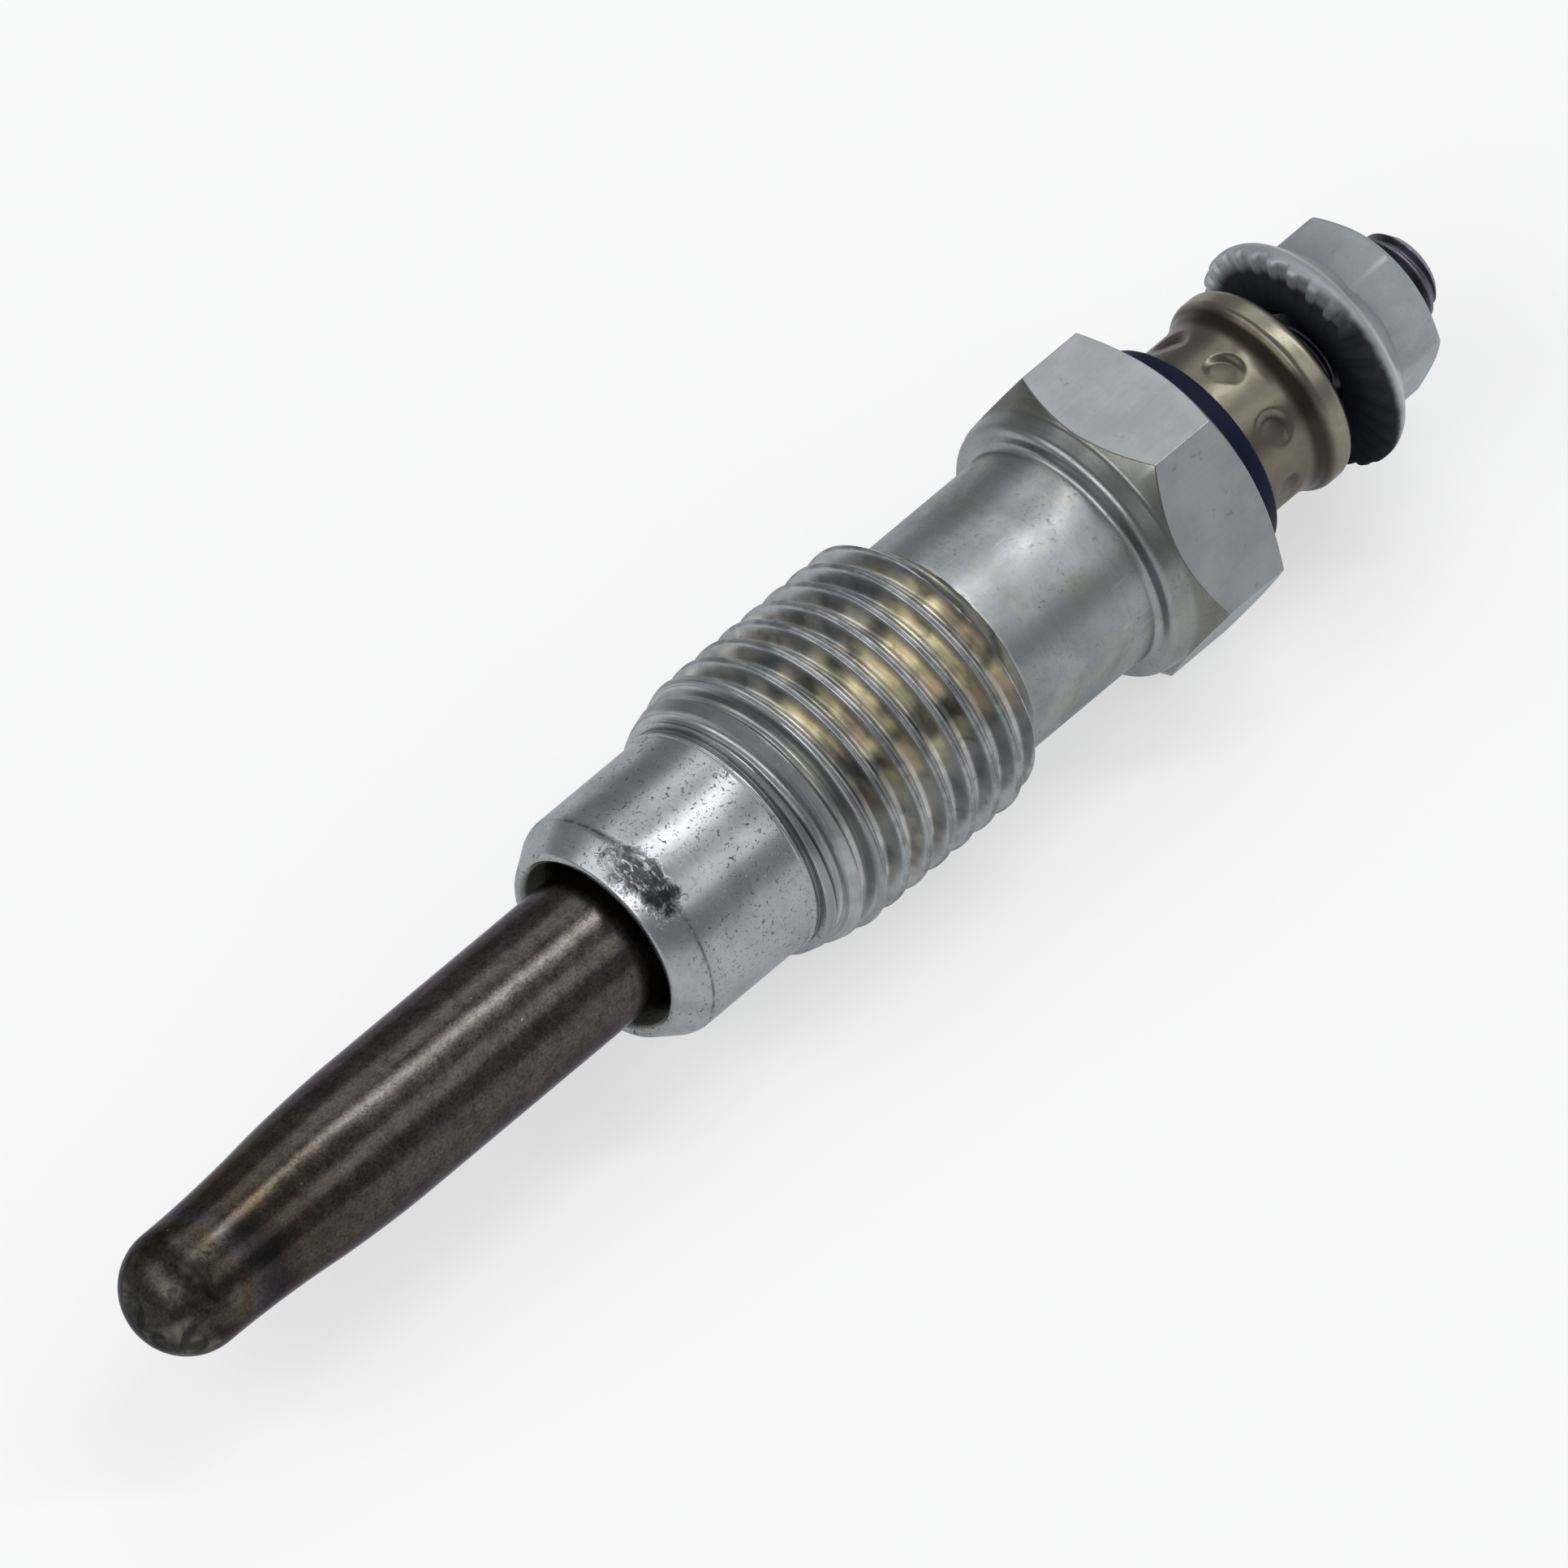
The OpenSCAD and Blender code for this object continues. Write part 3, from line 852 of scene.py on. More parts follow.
@dataclass(frozen=True)
class DullFilling:
    """Rubber, plastic or powder: no metal, with a fine grain."""

    name: str
    colour: Colour
    shade: Colour
    rough: float
    grain_size: float
    grain_height: float
    gloss: float = 0.5

    def material(self) -> bpy.types.Material:
        """Makes the material.

        Returns:
            The material.
        """
        s = Surface(self.name)
        grain = s.spread(self.grain_size, Noise.GRAIN, 3.0, 0.6)
        clouds = s.spread(0.6, Noise.CLOUDS, 3.0, 0.6)
        s.colour = s.mix(s.step(grain * 0.6 + clouds * 0.4, 0.38, 0.62), self.colour, self.shade)
        s.rough = (clouds - 0.5) * 0.15 + self.rough
        s.height = grain * self.grain_height
        return s.finish({"Specular IOR Level": self.gloss}, metal=0.0)


@dataclass(frozen=True)
class Corner:
    """A corner of a turned outline: place along the axis, radius and rounding, in millimetres."""

    x: float
    r: float
    rounding: float = 0.0


@dataclass(frozen=True)
class ScrewThread:
    """A right-hand thread with rounded roots and a fold along its rolled crest.

    It reaches from front to rear, and crest_at is the station of one crest straight above the axis.
    Crest_round is a share of the pitch, root_round of half the root, and fold_share of half the crest.
    """

    pitch: float
    crest_r: float
    depth: float
    crest_share: float
    root_share: float
    fold: float
    front: float
    rear: float
    crest_at: float
    limit: Callable[[float], float]
    crest_round: float = 0.06
    root_round: float = 0.9
    fold_share: float = 0.3

    def outline(self) -> list[Corner]:
        """One pitch, from the middle of a root to the middle of the next.

        Returns:
            The outline's corners.
        """
        root_r = self.crest_r - self.depth
        root = self.root_share * self.pitch / 2
        crest = self.crest_share * self.pitch / 2
        middle = self.pitch / 2
        lip = self.fold_share * crest
        soft = self.crest_round * self.pitch
        return [
            Corner(0.0, root_r),
            Corner(root, root_r, self.root_round * root),
            Corner(middle - crest, self.crest_r, soft),
            Corner(middle - lip, self.crest_r),
            Corner(middle, self.crest_r - self.fold),
            Corner(middle + lip, self.crest_r),
            Corner(middle + crest, self.crest_r, soft),
            Corner(self.pitch - root, root_r, self.root_round * root),
            Corner(self.pitch, root_r),
        ]


class Workpiece:
    """A mesh on the lathe: millimetres, with the plug's axis along X through the origin."""

    DOUBLES = 1e-4
    SEAM = 1e-3
    CUT = 1e-5
    CORNER = 0.02
    LEVEL = 0.01
    MANY_SIDES = 12
    RIDGE = math.radians(8.0)
    RIDGE_STEPS = 4

    def __init__(self) -> None:
        """Starts with nothing in the chuck."""
        self.bm = bmesh.new()

    def _wires(self) -> list:
        """Edges that have no face yet, with their vertices."""
        edges = [e for e in self.bm.edges if not e.link_faces]
        return edges + list({v for e in edges for v in e.verts})

    def _bevel(self, geom: list, offset: float, segments: int, affect: str) -> None:
        """Rounds corners of an outline or edges of a solid.

        Args:
            geom: the corners or edges.
            offset: how far the rounding reaches.
            segments: its steps.
            affect: VERTICES or EDGES.
        """
        bmesh.ops.bevel(
            self.bm,
            geom=geom,
            offset=offset,
            segments=segments,
            profile=0.5,
            affect=affect,
            material=-1,
            clamp_overlap=True,
        )

    def _spin(self, steps: int, angle: float = 2 * math.pi, shift: float = 0.0, **options: bool) -> None:
        """Carries the outline round the axis, along it or both.

        Args:
            steps: number of steps.
            angle: the whole turn, in radians.
            shift: advance along the axis with each step.
            options: other options of the spin.
        """
        bmesh.ops.spin(
            self.bm,
            geom=self._wires(),
            cent=(0.0, 0.0, 0.0),
            axis=(1.0, 0.0, 0.0),
            dvec=(shift, 0.0, 0.0),
            angle=angle,
            steps=steps,
            **options,
        )

    def _slice(self, geom: list, point: Vector, normal: Vector) -> list[bmesh.types.BMEdge]:
        """Cuts along a plane and drops what lies on the normal's side.

        Args:
            geom: what is cut.
            point: a point of the plane.
            normal: the plane's normal.

        Returns:
            The edges of the cut.
        """
        cut = bmesh.ops.bisect_plane(
            self.bm,
            geom=geom,
            dist=self.CUT,
            plane_co=point,
            plane_no=normal,
            clear_outer=True,
        )
        return [e for e in cut["geom_cut"] if isinstance(e, bmesh.types.BMEdge)]

    def draw(self, corners: Sequence[Corner], closed: bool = False, segments: int = 6) -> None:
        """Draws an outline and rounds its corners.

        Args:
            corners: the outline's corners in order.
            closed: whether the last corner is joined to the first.
            segments: steps of each rounding.
        """
        verts = [self.bm.verts.new((c.x, 0.0, c.r)) for c in corners]
        pairs = list(zip(verts, verts[1:]))
        if closed:
            pairs.append((verts[-1], verts[0]))
        for pair in pairs:
            self.bm.edges.new(pair)
        for corner, vert in zip(corners, verts):
            if corner.rounding > 0.0:
                self._bevel([vert], corner.rounding, segments, "VERTICES")

    def refine(self, longest: float) -> None:
        """Divides the outline's long edges.

        Args:
            longest: length that no edge may pass.
        """
        for edge in [e for e in self.bm.edges if not e.link_faces]:
            cuts = math.ceil(edge.calc_length() / longest) - 1
            if cuts > 0:
                bmesh.ops.subdivide_edges(self.bm, edges=[edge], cuts=cuts)

    def turn(self, steps: int) -> None:
        """Turns the outline into a solid of revolution."""
        self._spin(steps, use_merge=True)
        self.weld()

    def wind(self, thread: ScrewThread, steps: int, grain: float) -> None:
        """Winds a thread: one pitch is laid in a row and carried once round the axis.

        Args:
            thread: the thread's form and reach.
            steps: steps in one turn.
            grain: longest edge of its outline.
        """
        below = math.ceil((thread.crest_at - thread.front) / thread.pitch) + 2
        start = thread.crest_at - (below + 0.5) * thread.pitch
        count = math.ceil((thread.rear - start) / thread.pitch) + 1
        self.draw([Corner(start + c.x, c.r, c.rounding) for c in thread.outline()], segments=3)
        self.refine(grain)
        self._spin(count, angle=0.0, shift=thread.pitch, use_duplicate=True)
        bmesh.ops.remove_doubles(self.bm, verts=self.bm.verts[:], dist=self.DOUBLES)
        self._spin(steps, shift=thread.pitch / steps)
        bmesh.ops.remove_doubles(self.bm, verts=self.bm.verts[:], dist=self.SEAM)
        for vert in self.bm.verts:
            radius = math.hypot(vert.co.y, vert.co.z)
            limit = thread.limit(vert.co.x)
            if radius > limit:
                vert.co.yz = vert.co.yz * (limit / radius)
        for place, side in ((thread.front, -1.0), (thread.rear, 1.0)):
            whole = self.bm.verts[:] + self.bm.edges[:] + self.bm.faces[:]
            self._slice(whole, Vector((place, 0.0, 0.0)), Vector((side, 0.0, 0.0)))

    def rims(self, low: float, high: float) -> list:
        """Open edges between two stations.

        Args:
            low: the first station.
            high: the last station.

        Returns:
            The edges.
        """
        return [
            e
            for e in self.bm.edges
            if e.is_boundary and all(low <= v.co.x <= high for v in e.verts)
        ]

    def bridge(self, low: float, high: float) -> None:
        """Joins two open rims between two stations."""
        bmesh.ops.bridge_loops(self.bm, edges=self.rims(low, high))

    def close(self, low: float, high: float) -> None:
        """Closes an open rim between two stations with one face."""
        bmesh.ops.edgeloop_fill(self.bm, edges=self.rims(low, high))

    def cut_hexagon(
        self,
        across: float,
        turn: float,
        low: float,
        high: float,
        inner: float,
        soft: float,
    ) -> None:
        """Cuts six flats and softens their edges.

        Args:
            across: distance across the flats.
            turn: direction of one flat in degrees, from Y towards Z.
            low: station where the flats may start.
            high: station where they may end.
            inner: radius inside which nothing is touched.
            soft: width of the softened edges.
        """
        for k in range(6):
            angle = math.radians(turn + 60.0 * k)
            normal = Vector((0.0, math.cos(angle), math.sin(angle)))
            faces = [f for f in self.bm.faces if self._within(f, low, high, inner)]
            edges = list({e for f in faces for e in f.edges})
            verts = list({v for f in faces for v in f.verts})
            rim = self._slice(verts + edges + faces, normal * across / 2, normal)
            bmesh.ops.edgeloop_fill(self.bm, edges=rim)
        around = [v for v in self.bm.verts if low <= v.co.x <= high and v.co.yz.length > inner]
        bmesh.ops.remove_doubles(self.bm, verts=around, dist=self.CORNER)
        bmesh.ops.recalc_face_normals(self.bm, faces=self.bm.faces[:])
        flats = [f for f in self.bm.faces if self._broad(f) and abs(f.normal.x) < self.LEVEL]
        ridges = list({e for f in flats for e in f.edges if e.calc_face_angle(0.0) > self.RIDGE})
        self._bevel(ridges, soft, self.RIDGE_STEPS, "EDGES")

    @staticmethod
    def _within(face: bmesh.types.BMFace, low: float, high: float, inner: float) -> bool:
        """Whether a face lies between two stations and outside a radius."""
        return all(low <= v.co.x <= high and v.co.yz.length >= inner for v in face.verts)

    def _broad(self, face: bmesh.types.BMFace) -> bool:
        """Whether a face is a cut flat or an end and not a patch of a turned wall."""
        return len(face.verts) > self.MANY_SIDES

    def weld(self) -> None:
        """Merges doubles and turns all faces outwards."""
        bmesh.ops.remove_doubles(self.bm, verts=self.bm.verts[:], dist=self.DOUBLES)
        bmesh.ops.recalc_face_normals(self.bm, faces=self.bm.faces[:])

    def to_object(self, name: str, crease: float = 32.0) -> bpy.types.Object:
        """Sets the workpiece into the frame of the solids.

        Args:
            name: the piece's name.
            crease: angle in degrees from which an edge stays sharp.

        Returns:
            The piece, at the origin, with its place in its mesh.
        """
        self.weld()
        for face in self.bm.faces:
            face.smooth = True
        for edge in self.bm.edges:
            broad = any(self._broad(f) for f in edge.link_faces)
            edge.smooth = not broad and edge.calc_face_angle(0.0) < math.radians(crease)
        bmesh.ops.translate(self.bm, verts=self.bm.verts[:], vec=(0.0, 0.0, Axis.height()))
        bmesh.ops.scale(self.bm, verts=self.bm.verts[:], vec=(MM, MM, MM))
        mesh = bpy.data.meshes.new(name)
        self.bm.to_mesh(mesh)
        self.bm.free()
        return add_object(name, mesh)


class Piece:
    """A sub-assembly's common duty: dress a mesh and hand it to the frame."""

    def settle(self, piece: bpy.types.Object, node: str, slot: Slot, material: bpy.types.Material) -> None:
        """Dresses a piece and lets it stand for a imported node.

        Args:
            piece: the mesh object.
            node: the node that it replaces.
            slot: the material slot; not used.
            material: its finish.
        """
        piece.data.materials.clear()
        piece.data.materials.append(material)
        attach(piece, "root")
        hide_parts(node)
        LOG.info("%s: %d faces in place of %s", piece.name, len(piece.data.polygons), node)


@dataclass
class HeaterSheath(Piece):
    """The heater tube with its reduced, rounded tip."""

    span: Span = Span.field("heater_sheath")
    tip_r: float = 2.6
    tip_len: float = 5.2
    taper_len: float = 5.4
    wall: float = 0.7
    bend_share: float = 0.42
    dome_share: float = 0.97
    longest: float = 1.2
    steps: int = 128

    def build(self) -> None:
        """Turns the tube and dresses it."""
        work = Workpiece()
        work.draw(self._outline(), segments=14)
        work.refine(self.longest)
        work.turn(self.steps)
        finish = HeatTintedAlloy("heat_tinted_alloy", tip=self.span.front)
        self.settle(work.to_object("sheath_tube"), "heater_sheath", Slot.SHEATH, finish.material())

    def _outline(self) -> list[Corner]:
        """Outer and inner wall, from the tip to the open end and back.

        Returns:
            The outline's corners.
        """
        tip, end = self.span.front, self.span.rear
        taper = tip + self.tip_len
        tube = taper + self.taper_len
        bend = self.taper_len * self.bend_share
        outer = self.span.radius
        inner_r = self.tip_r - self.wall
        return [
            Corner(tip, 0.0),
            Corner(tip, self.tip_r, self.tip_r * self.dome_share),
            Corner(taper, self.tip_r, bend),
            Corner(tube, outer, bend),
            Corner(end, outer),
            Corner(end, outer - self.wall),
            Corner(tube, outer - self.wall, bend),
            Corner(taper, inner_r, bend),
            Corner(tip + self.wall, inner_r, inner_r * self.dome_share),
            Corner(tip + self.wall, 0.0),
        ]


@dataclass
class PlugBody(Piece):
    """The body: lip, sealing cone, nozzle, thread, neck, collar and hexagon in one piece."""

    span: Span = Span.field("plug_body")
    sheath: Span = Span.field("heater_sheath")
    lip_r: float = 4.2
    nozzle_r: float = 5.0
    nozzle_len: float = 7.1
    cone_len: float = 1.306
    mouth_gap: float = 0.65
    mouth_depth: float = 6.0
    lip_edge: float = 0.2
    lip_round: float = 0.12
    cone_round: float = 0.25
    edge_round: float = 0.06
    fit_gap: float = 0.02
    thread_r: float = 6.0
    pitch: float = 1.25
    thread_len: float = 12.0
    lead_in: float = 2.3
    lead_in_r: float = 5.35
    first_crest: float = 1.15
    crest_side: float = 33.1
    bead_r: float = 5.09
    bead_reach: Range = (0.30, 0.17)
    bead_foot: Range = (0.36, 0.12)
    bead_round: float = 0.03
    groove_rise: float = 0.02
    shoulder_r: float = 5.2
    neck_r: float = 4.925
    neck_len: float = 6.95
    neck_fillet: float = 0.3
    collar_r: float = 5.8
    collar_end_r: float = 5.95
    collar_len: float = 1.0
    collar_round: float = 0.35
    corner_round: float = 0.12
    hex_af: float = 12.0
    hex_over: float = 0.3
    flat_inner: float = 5.2
    flat_soft: float = 0.13
    flat_margin: float = 0.1
    flat_turn: float = 90.0
    rear_face_r: float = 5.65
    front_slope: float = 40.0
    corner_slope: float = 30.0
    stud_bore_r: float = 2.6
    seal_bore_r: float = 3.7
    seal_depth: float = 2.93
    overlap: float = 0.4
    hair: float = 0.02
    tint_start: float = 0.325
    tint_edge: float = 0.075
    stain_edge: float = 0.025
    chamfer_reach: float = 0.875
    skin: float = 0.03
    thread_grain: float = 0.12
    longest: float = 2.0
    steps: int = 168

    def build(self) -> None:
        """Winds the thread, turns the rest around it, cuts the flats and dresses the body."""
        work = Workpiece()
        work.wind(self._thread(), self.steps, self.thread_grain)
        work.draw(self._outline(), segments=6)
        work.refine(self.longest)
        work.turn(self.steps)
        start, end = self._thread_start(), self._thread_end()
        work.bridge(start - self.hair, start + 3 * self.hair)
        work.bridge(end, end + 3 * self.overlap)
        work.weld()
        low = end + self.neck_len + self.flat_margin
        high = self.span.rear + self.flat_margin
        work.cut_hexagon(self.hex_af, self.flat_turn, low, high, self.flat_inner, self.flat_soft)
        self.settle(work.to_object("body_shell"), "plug_body", Slot.BODY, self._finish().material())

    def _finish(self) -> BodyZinc:
        """The body's finish, with its zones at the body's own stations.

        Returns:
            The finish.
        """
        start, end = self._thread_start(), self._thread_end()
        collar = end + self.neck_len
        corners = collar + self.collar_len
        return BodyZinc(
            "body_zinc",
            thread=(start + self.tint_start, end - self.tint_edge),
            crest_r=self.thread_r,
            lead_in=(start, self.lead_in_r, (self.thread_r - self.lead_in_r) / self.lead_in),
            neck=(end - self.tint_edge, collar - self.stain_edge),
            collar=(collar + self.tint_edge, corners + self.chamfer_reach),
            corner=(corners, self.collar_end_r, 1 / math.tan(math.radians(self.front_slope))),
            cone_edge=self.span.front + self.cone_len,
            mouth=self.span.front,
            mouth_r=self.sheath.radius + self.mouth_gap + self.skin,
        )

    def _thread_start(self) -> float:
        """Station where the nozzle ends and the thread starts."""
        return self.span.front + self.nozzle_len

    def _thread_end(self) -> float:
        """Station where the run-out meets the neck."""
        return self._thread_start() + self.thread_len

    def _limit(self, x: float) -> float:
        """Largest radius of the thread at a station: lead-in, crests, run-out and neck.

        Args:
            x: the station.

        Returns:
            The radius in millimetres.
        """
        start, end = self._thread_start(), self._thread_end()
        if x > end:
            return self.neck_r
        lead = self.lead_in_r + (self.thread_r - self.lead_in_r) * (x - start) / self.lead_in
        return min(self.thread_r, lead, self.neck_r + end - x)

    def _thread(self) -> ScrewThread:
        """The engine thread.

        Returns:
            Its form and reach.
        """
        return ScrewThread(
            pitch=self.pitch,
            crest_r=self.thread_r,
            depth=DEPTH_PER_PITCH * self.pitch,
            crest_share=0.22,
            root_share=0.30,
            fold=0.04,
            front=self._thread_start() + self.hair,
            rear=self._thread_end() + self.overlap,
            crest_at=self._thread_start() + self.first_crest - self.pitch * self.crest_side / 360.0,
            limit=self._limit,
        )

    def _outline(self) -> list[Corner]:
        """From the nozzle round the lip, through the bores and back over the hexagon to the neck.

        Returns:
            The outline's corners.
        """
        front, rear = self.span.front, self.span.rear
        start, end = self._thread_start(), self._thread_end()
        mouth_r = self.sheath.radius + self.mouth_gap
        press_r = self.sheath.radius + self.fit_gap
        grip = front + self.mouth_depth
        collar = end + self.neck_len
        corners = collar + self.collar_len
        over = self.hex_af / 2 / math.cos(math.radians(30.0)) + self.hex_over
        bead_front, bead_rear = self.bead_reach
        foot_front, foot_rear = self.bead_foot
        groove_r = self.nozzle_r + self.groove_rise
        slope = math.tan(math.radians(self.corner_slope))
        front_slope = math.tan(math.radians(self.front_slope))
        return [
            Corner(start, self.shoulder_r),
            Corner(start, groove_r, self.groove_rise),
            Corner(start - foot_rear, groove_r, self.bead_round),
            Corner(start - bead_rear, self.bead_r, self.bead_round),
            Corner(start - bead_front, self.bead_r, self.bead_round),
            Corner(start - foot_front, self.nozzle_r, self.bead_round),
            Corner(front + self.cone_len, self.nozzle_r, self.cone_round),
            Corner(front, self.lip_r, self.lip_round),
            Corner(front, mouth_r + self.lip_edge, self.edge_round),
            Corner(front + self.lip_edge, mouth_r, self.edge_round),
            Corner(grip - mouth_r + press_r, mouth_r),
            Corner(grip, press_r),
            Corner(self.sheath.rear, press_r),
            Corner(self.sheath.rear, self.stud_bore_r),
            Corner(rear - self.seal_depth, self.stud_bore_r),
            Corner(rear - self.seal_depth, self.seal_bore_r),
            Corner(rear, self.seal_bore_r),
            Corner(rear, self.rear_face_r, self.edge_round),
            Corner(rear - (over - self.rear_face_r) * slope, over),
            Corner(corners + (over - self.collar_end_r) * front_slope, over),
            Corner(corners, self.collar_end_r, self.corner_round),
            Corner(collar, self.collar_r, self.collar_round),
            Corner(collar, self.neck_r, self.neck_fillet),
            Corner(end + 2 * self.overlap, self.neck_r),
        ]


@dataclass
class InsulatingWasher(Piece):
    """The dark ring between hexagon and round nut, with its spigot in the body's bore."""

    span: Span = Span.field("insulating_washer")
    thickness: float = 1.25
    spigot_r: float = 3.68
    bore_r: float = 2.02
    edge: float = 0.18
    steps: int = 128

    def build(self) -> None:
        """Turns the washer and dresses it."""
        seat = self.span.rear - self.thickness
        work = Workpiece()
        work.draw(
            [
                Corner(self.span.front, self.bore_r),
                Corner(self.span.front, self.spigot_r),
                Corner(seat, self.spigot_r),
                Corner(seat, self.span.radius, self.edge),
                Corner(self.span.rear, self.span.radius, self.edge),
                Corner(self.span.rear, self.bore_r),
            ],
            closed=True,
            segments=5,
        )
        work.turn(self.steps)
        finish = DullFilling(
            "washer_navy",
            colour=(0.0018, 0.0055, 0.024),
            shade=(0.0026, 0.0080, 0.032),
            rough=0.50,
            grain_size=8.0,
            grain_height=0.002,
            gloss=0.12,
        )
        self.settle(work.to_object("washer_ring"), "insulating_washer", Slot.WASHER, finish.material())


@dataclass
class RoundNut(Piece):
    """The nut that is punched onto the stud: a drum with eight marks and a flared bead."""

    span: Span = Span.field("round_nut")
    drum_r: float = 3.9
    bore_r: float = 2.04
    bead_len: float = 1.05
    flare_len: float = 1.2
    crease: float = 0.24
    crease_r: float = 4.14
    crease_rounds: Range = (0.5, 0.6)
    front_edge: float = 0.2
    rear_edge: float = 0.45
    crimp_count: int = 8
    crimp_turn: float = 11.5
    crimp_r: float = 0.95
    crimp_depth: float = 0.22
    crimp_wall: float = 0.45
    crimp_pressure: float = 1.3
    crimp_slant: Range = (0.8, 0.6)
    crimp_lean: Range = (0.35, 0.65)
    crimp_zone: float = 0.9
    longest: float = 0.09
    steps: int = 288

    def build(self) -> None:
        """Turns the nut, punches its marks and dresses it."""
        work = Workpiece()
        work.draw(self._outline(), closed=True, segments=8)
        work.refine(self.longest)
        work.turn(self.steps)
        self._punch(work)
        finish = PunchedZinc(
            "round_nut_zinc",
            colour=(0.275, 0.258, 0.198),
            dull=(0.215, 0.202, 0.158),
            rough=0.27,
            specks=0.15,
            stain=0.35,
            line_height=0.0003,
            line_tint=0.08,
            drum_r=self.drum_r,
            bead=self.span.rear - self.bead_len,
        )
        self.settle(work.to_object("round_nut_drum"), "round_nut", Slot.ROUND_NUT, finish.material())

    def _outline(self) -> list[Corner]:
        """Drum, flare and bead.

        Returns:
            The outline's corners.
        """
        bead = self.span.rear - self.bead_len
        flare = bead - self.flare_len
        inner, outer = self.crease_rounds
        return [
            Corner(self.span.front, self.bore_r),
            Corner(self.span.front, self.drum_r, self.front_edge),
            Corner(flare + self.crease, self.drum_r, self.crease),
            Corner(bead - self.crease, self.crease_r, inner * self.crease),
            Corner(bead, self.span.radius, outer * self.crease),
            Corner(self.span.rear, self.span.radius, self.rear_edge),
            Corner(self.span.rear, self.bore_r),
        ]

    def _punch(self, work: Workpiece) -> None:
        """Presses the marks into the drum, aslant and deepest on the side towards the bead.

        Args:
            work: the turned nut.
        """
        centre = self.span.rear - self.bead_len - self.flare_len - self.crimp_r
        to_bead, to_side = self.crimp_slant
        middle, tilt = self.crimp_lean
        for k in range(self.crimp_count):
            angle = math.radians(self.crimp_turn) + 2 * math.pi * k / self.crimp_count
            out = Vector((0.0, math.cos(angle), math.sin(angle)))
            along = Vector((0.0, -math.sin(angle), math.cos(angle)))
            for vert in work.bm.verts:
                height = vert.co.dot(out)
                if height < self.crimp_zone * self.drum_r:
                    continue
                side = vert.co - out * height
                away = math.hypot(side.x - centre, side.yz.length)
                press = min(1.0, max(0.0, (self.crimp_r - away) / self.crimp_wall))
                press = press * press * (3.0 - 2.0 * press)
                slant = to_bead * (side.x - centre) - to_side * side.dot(along)
                lean = max(0.0, middle + tilt * slant / self.crimp_r)
                vert.co -= out * (self.crimp_pressure * self.crimp_depth * press * lean)


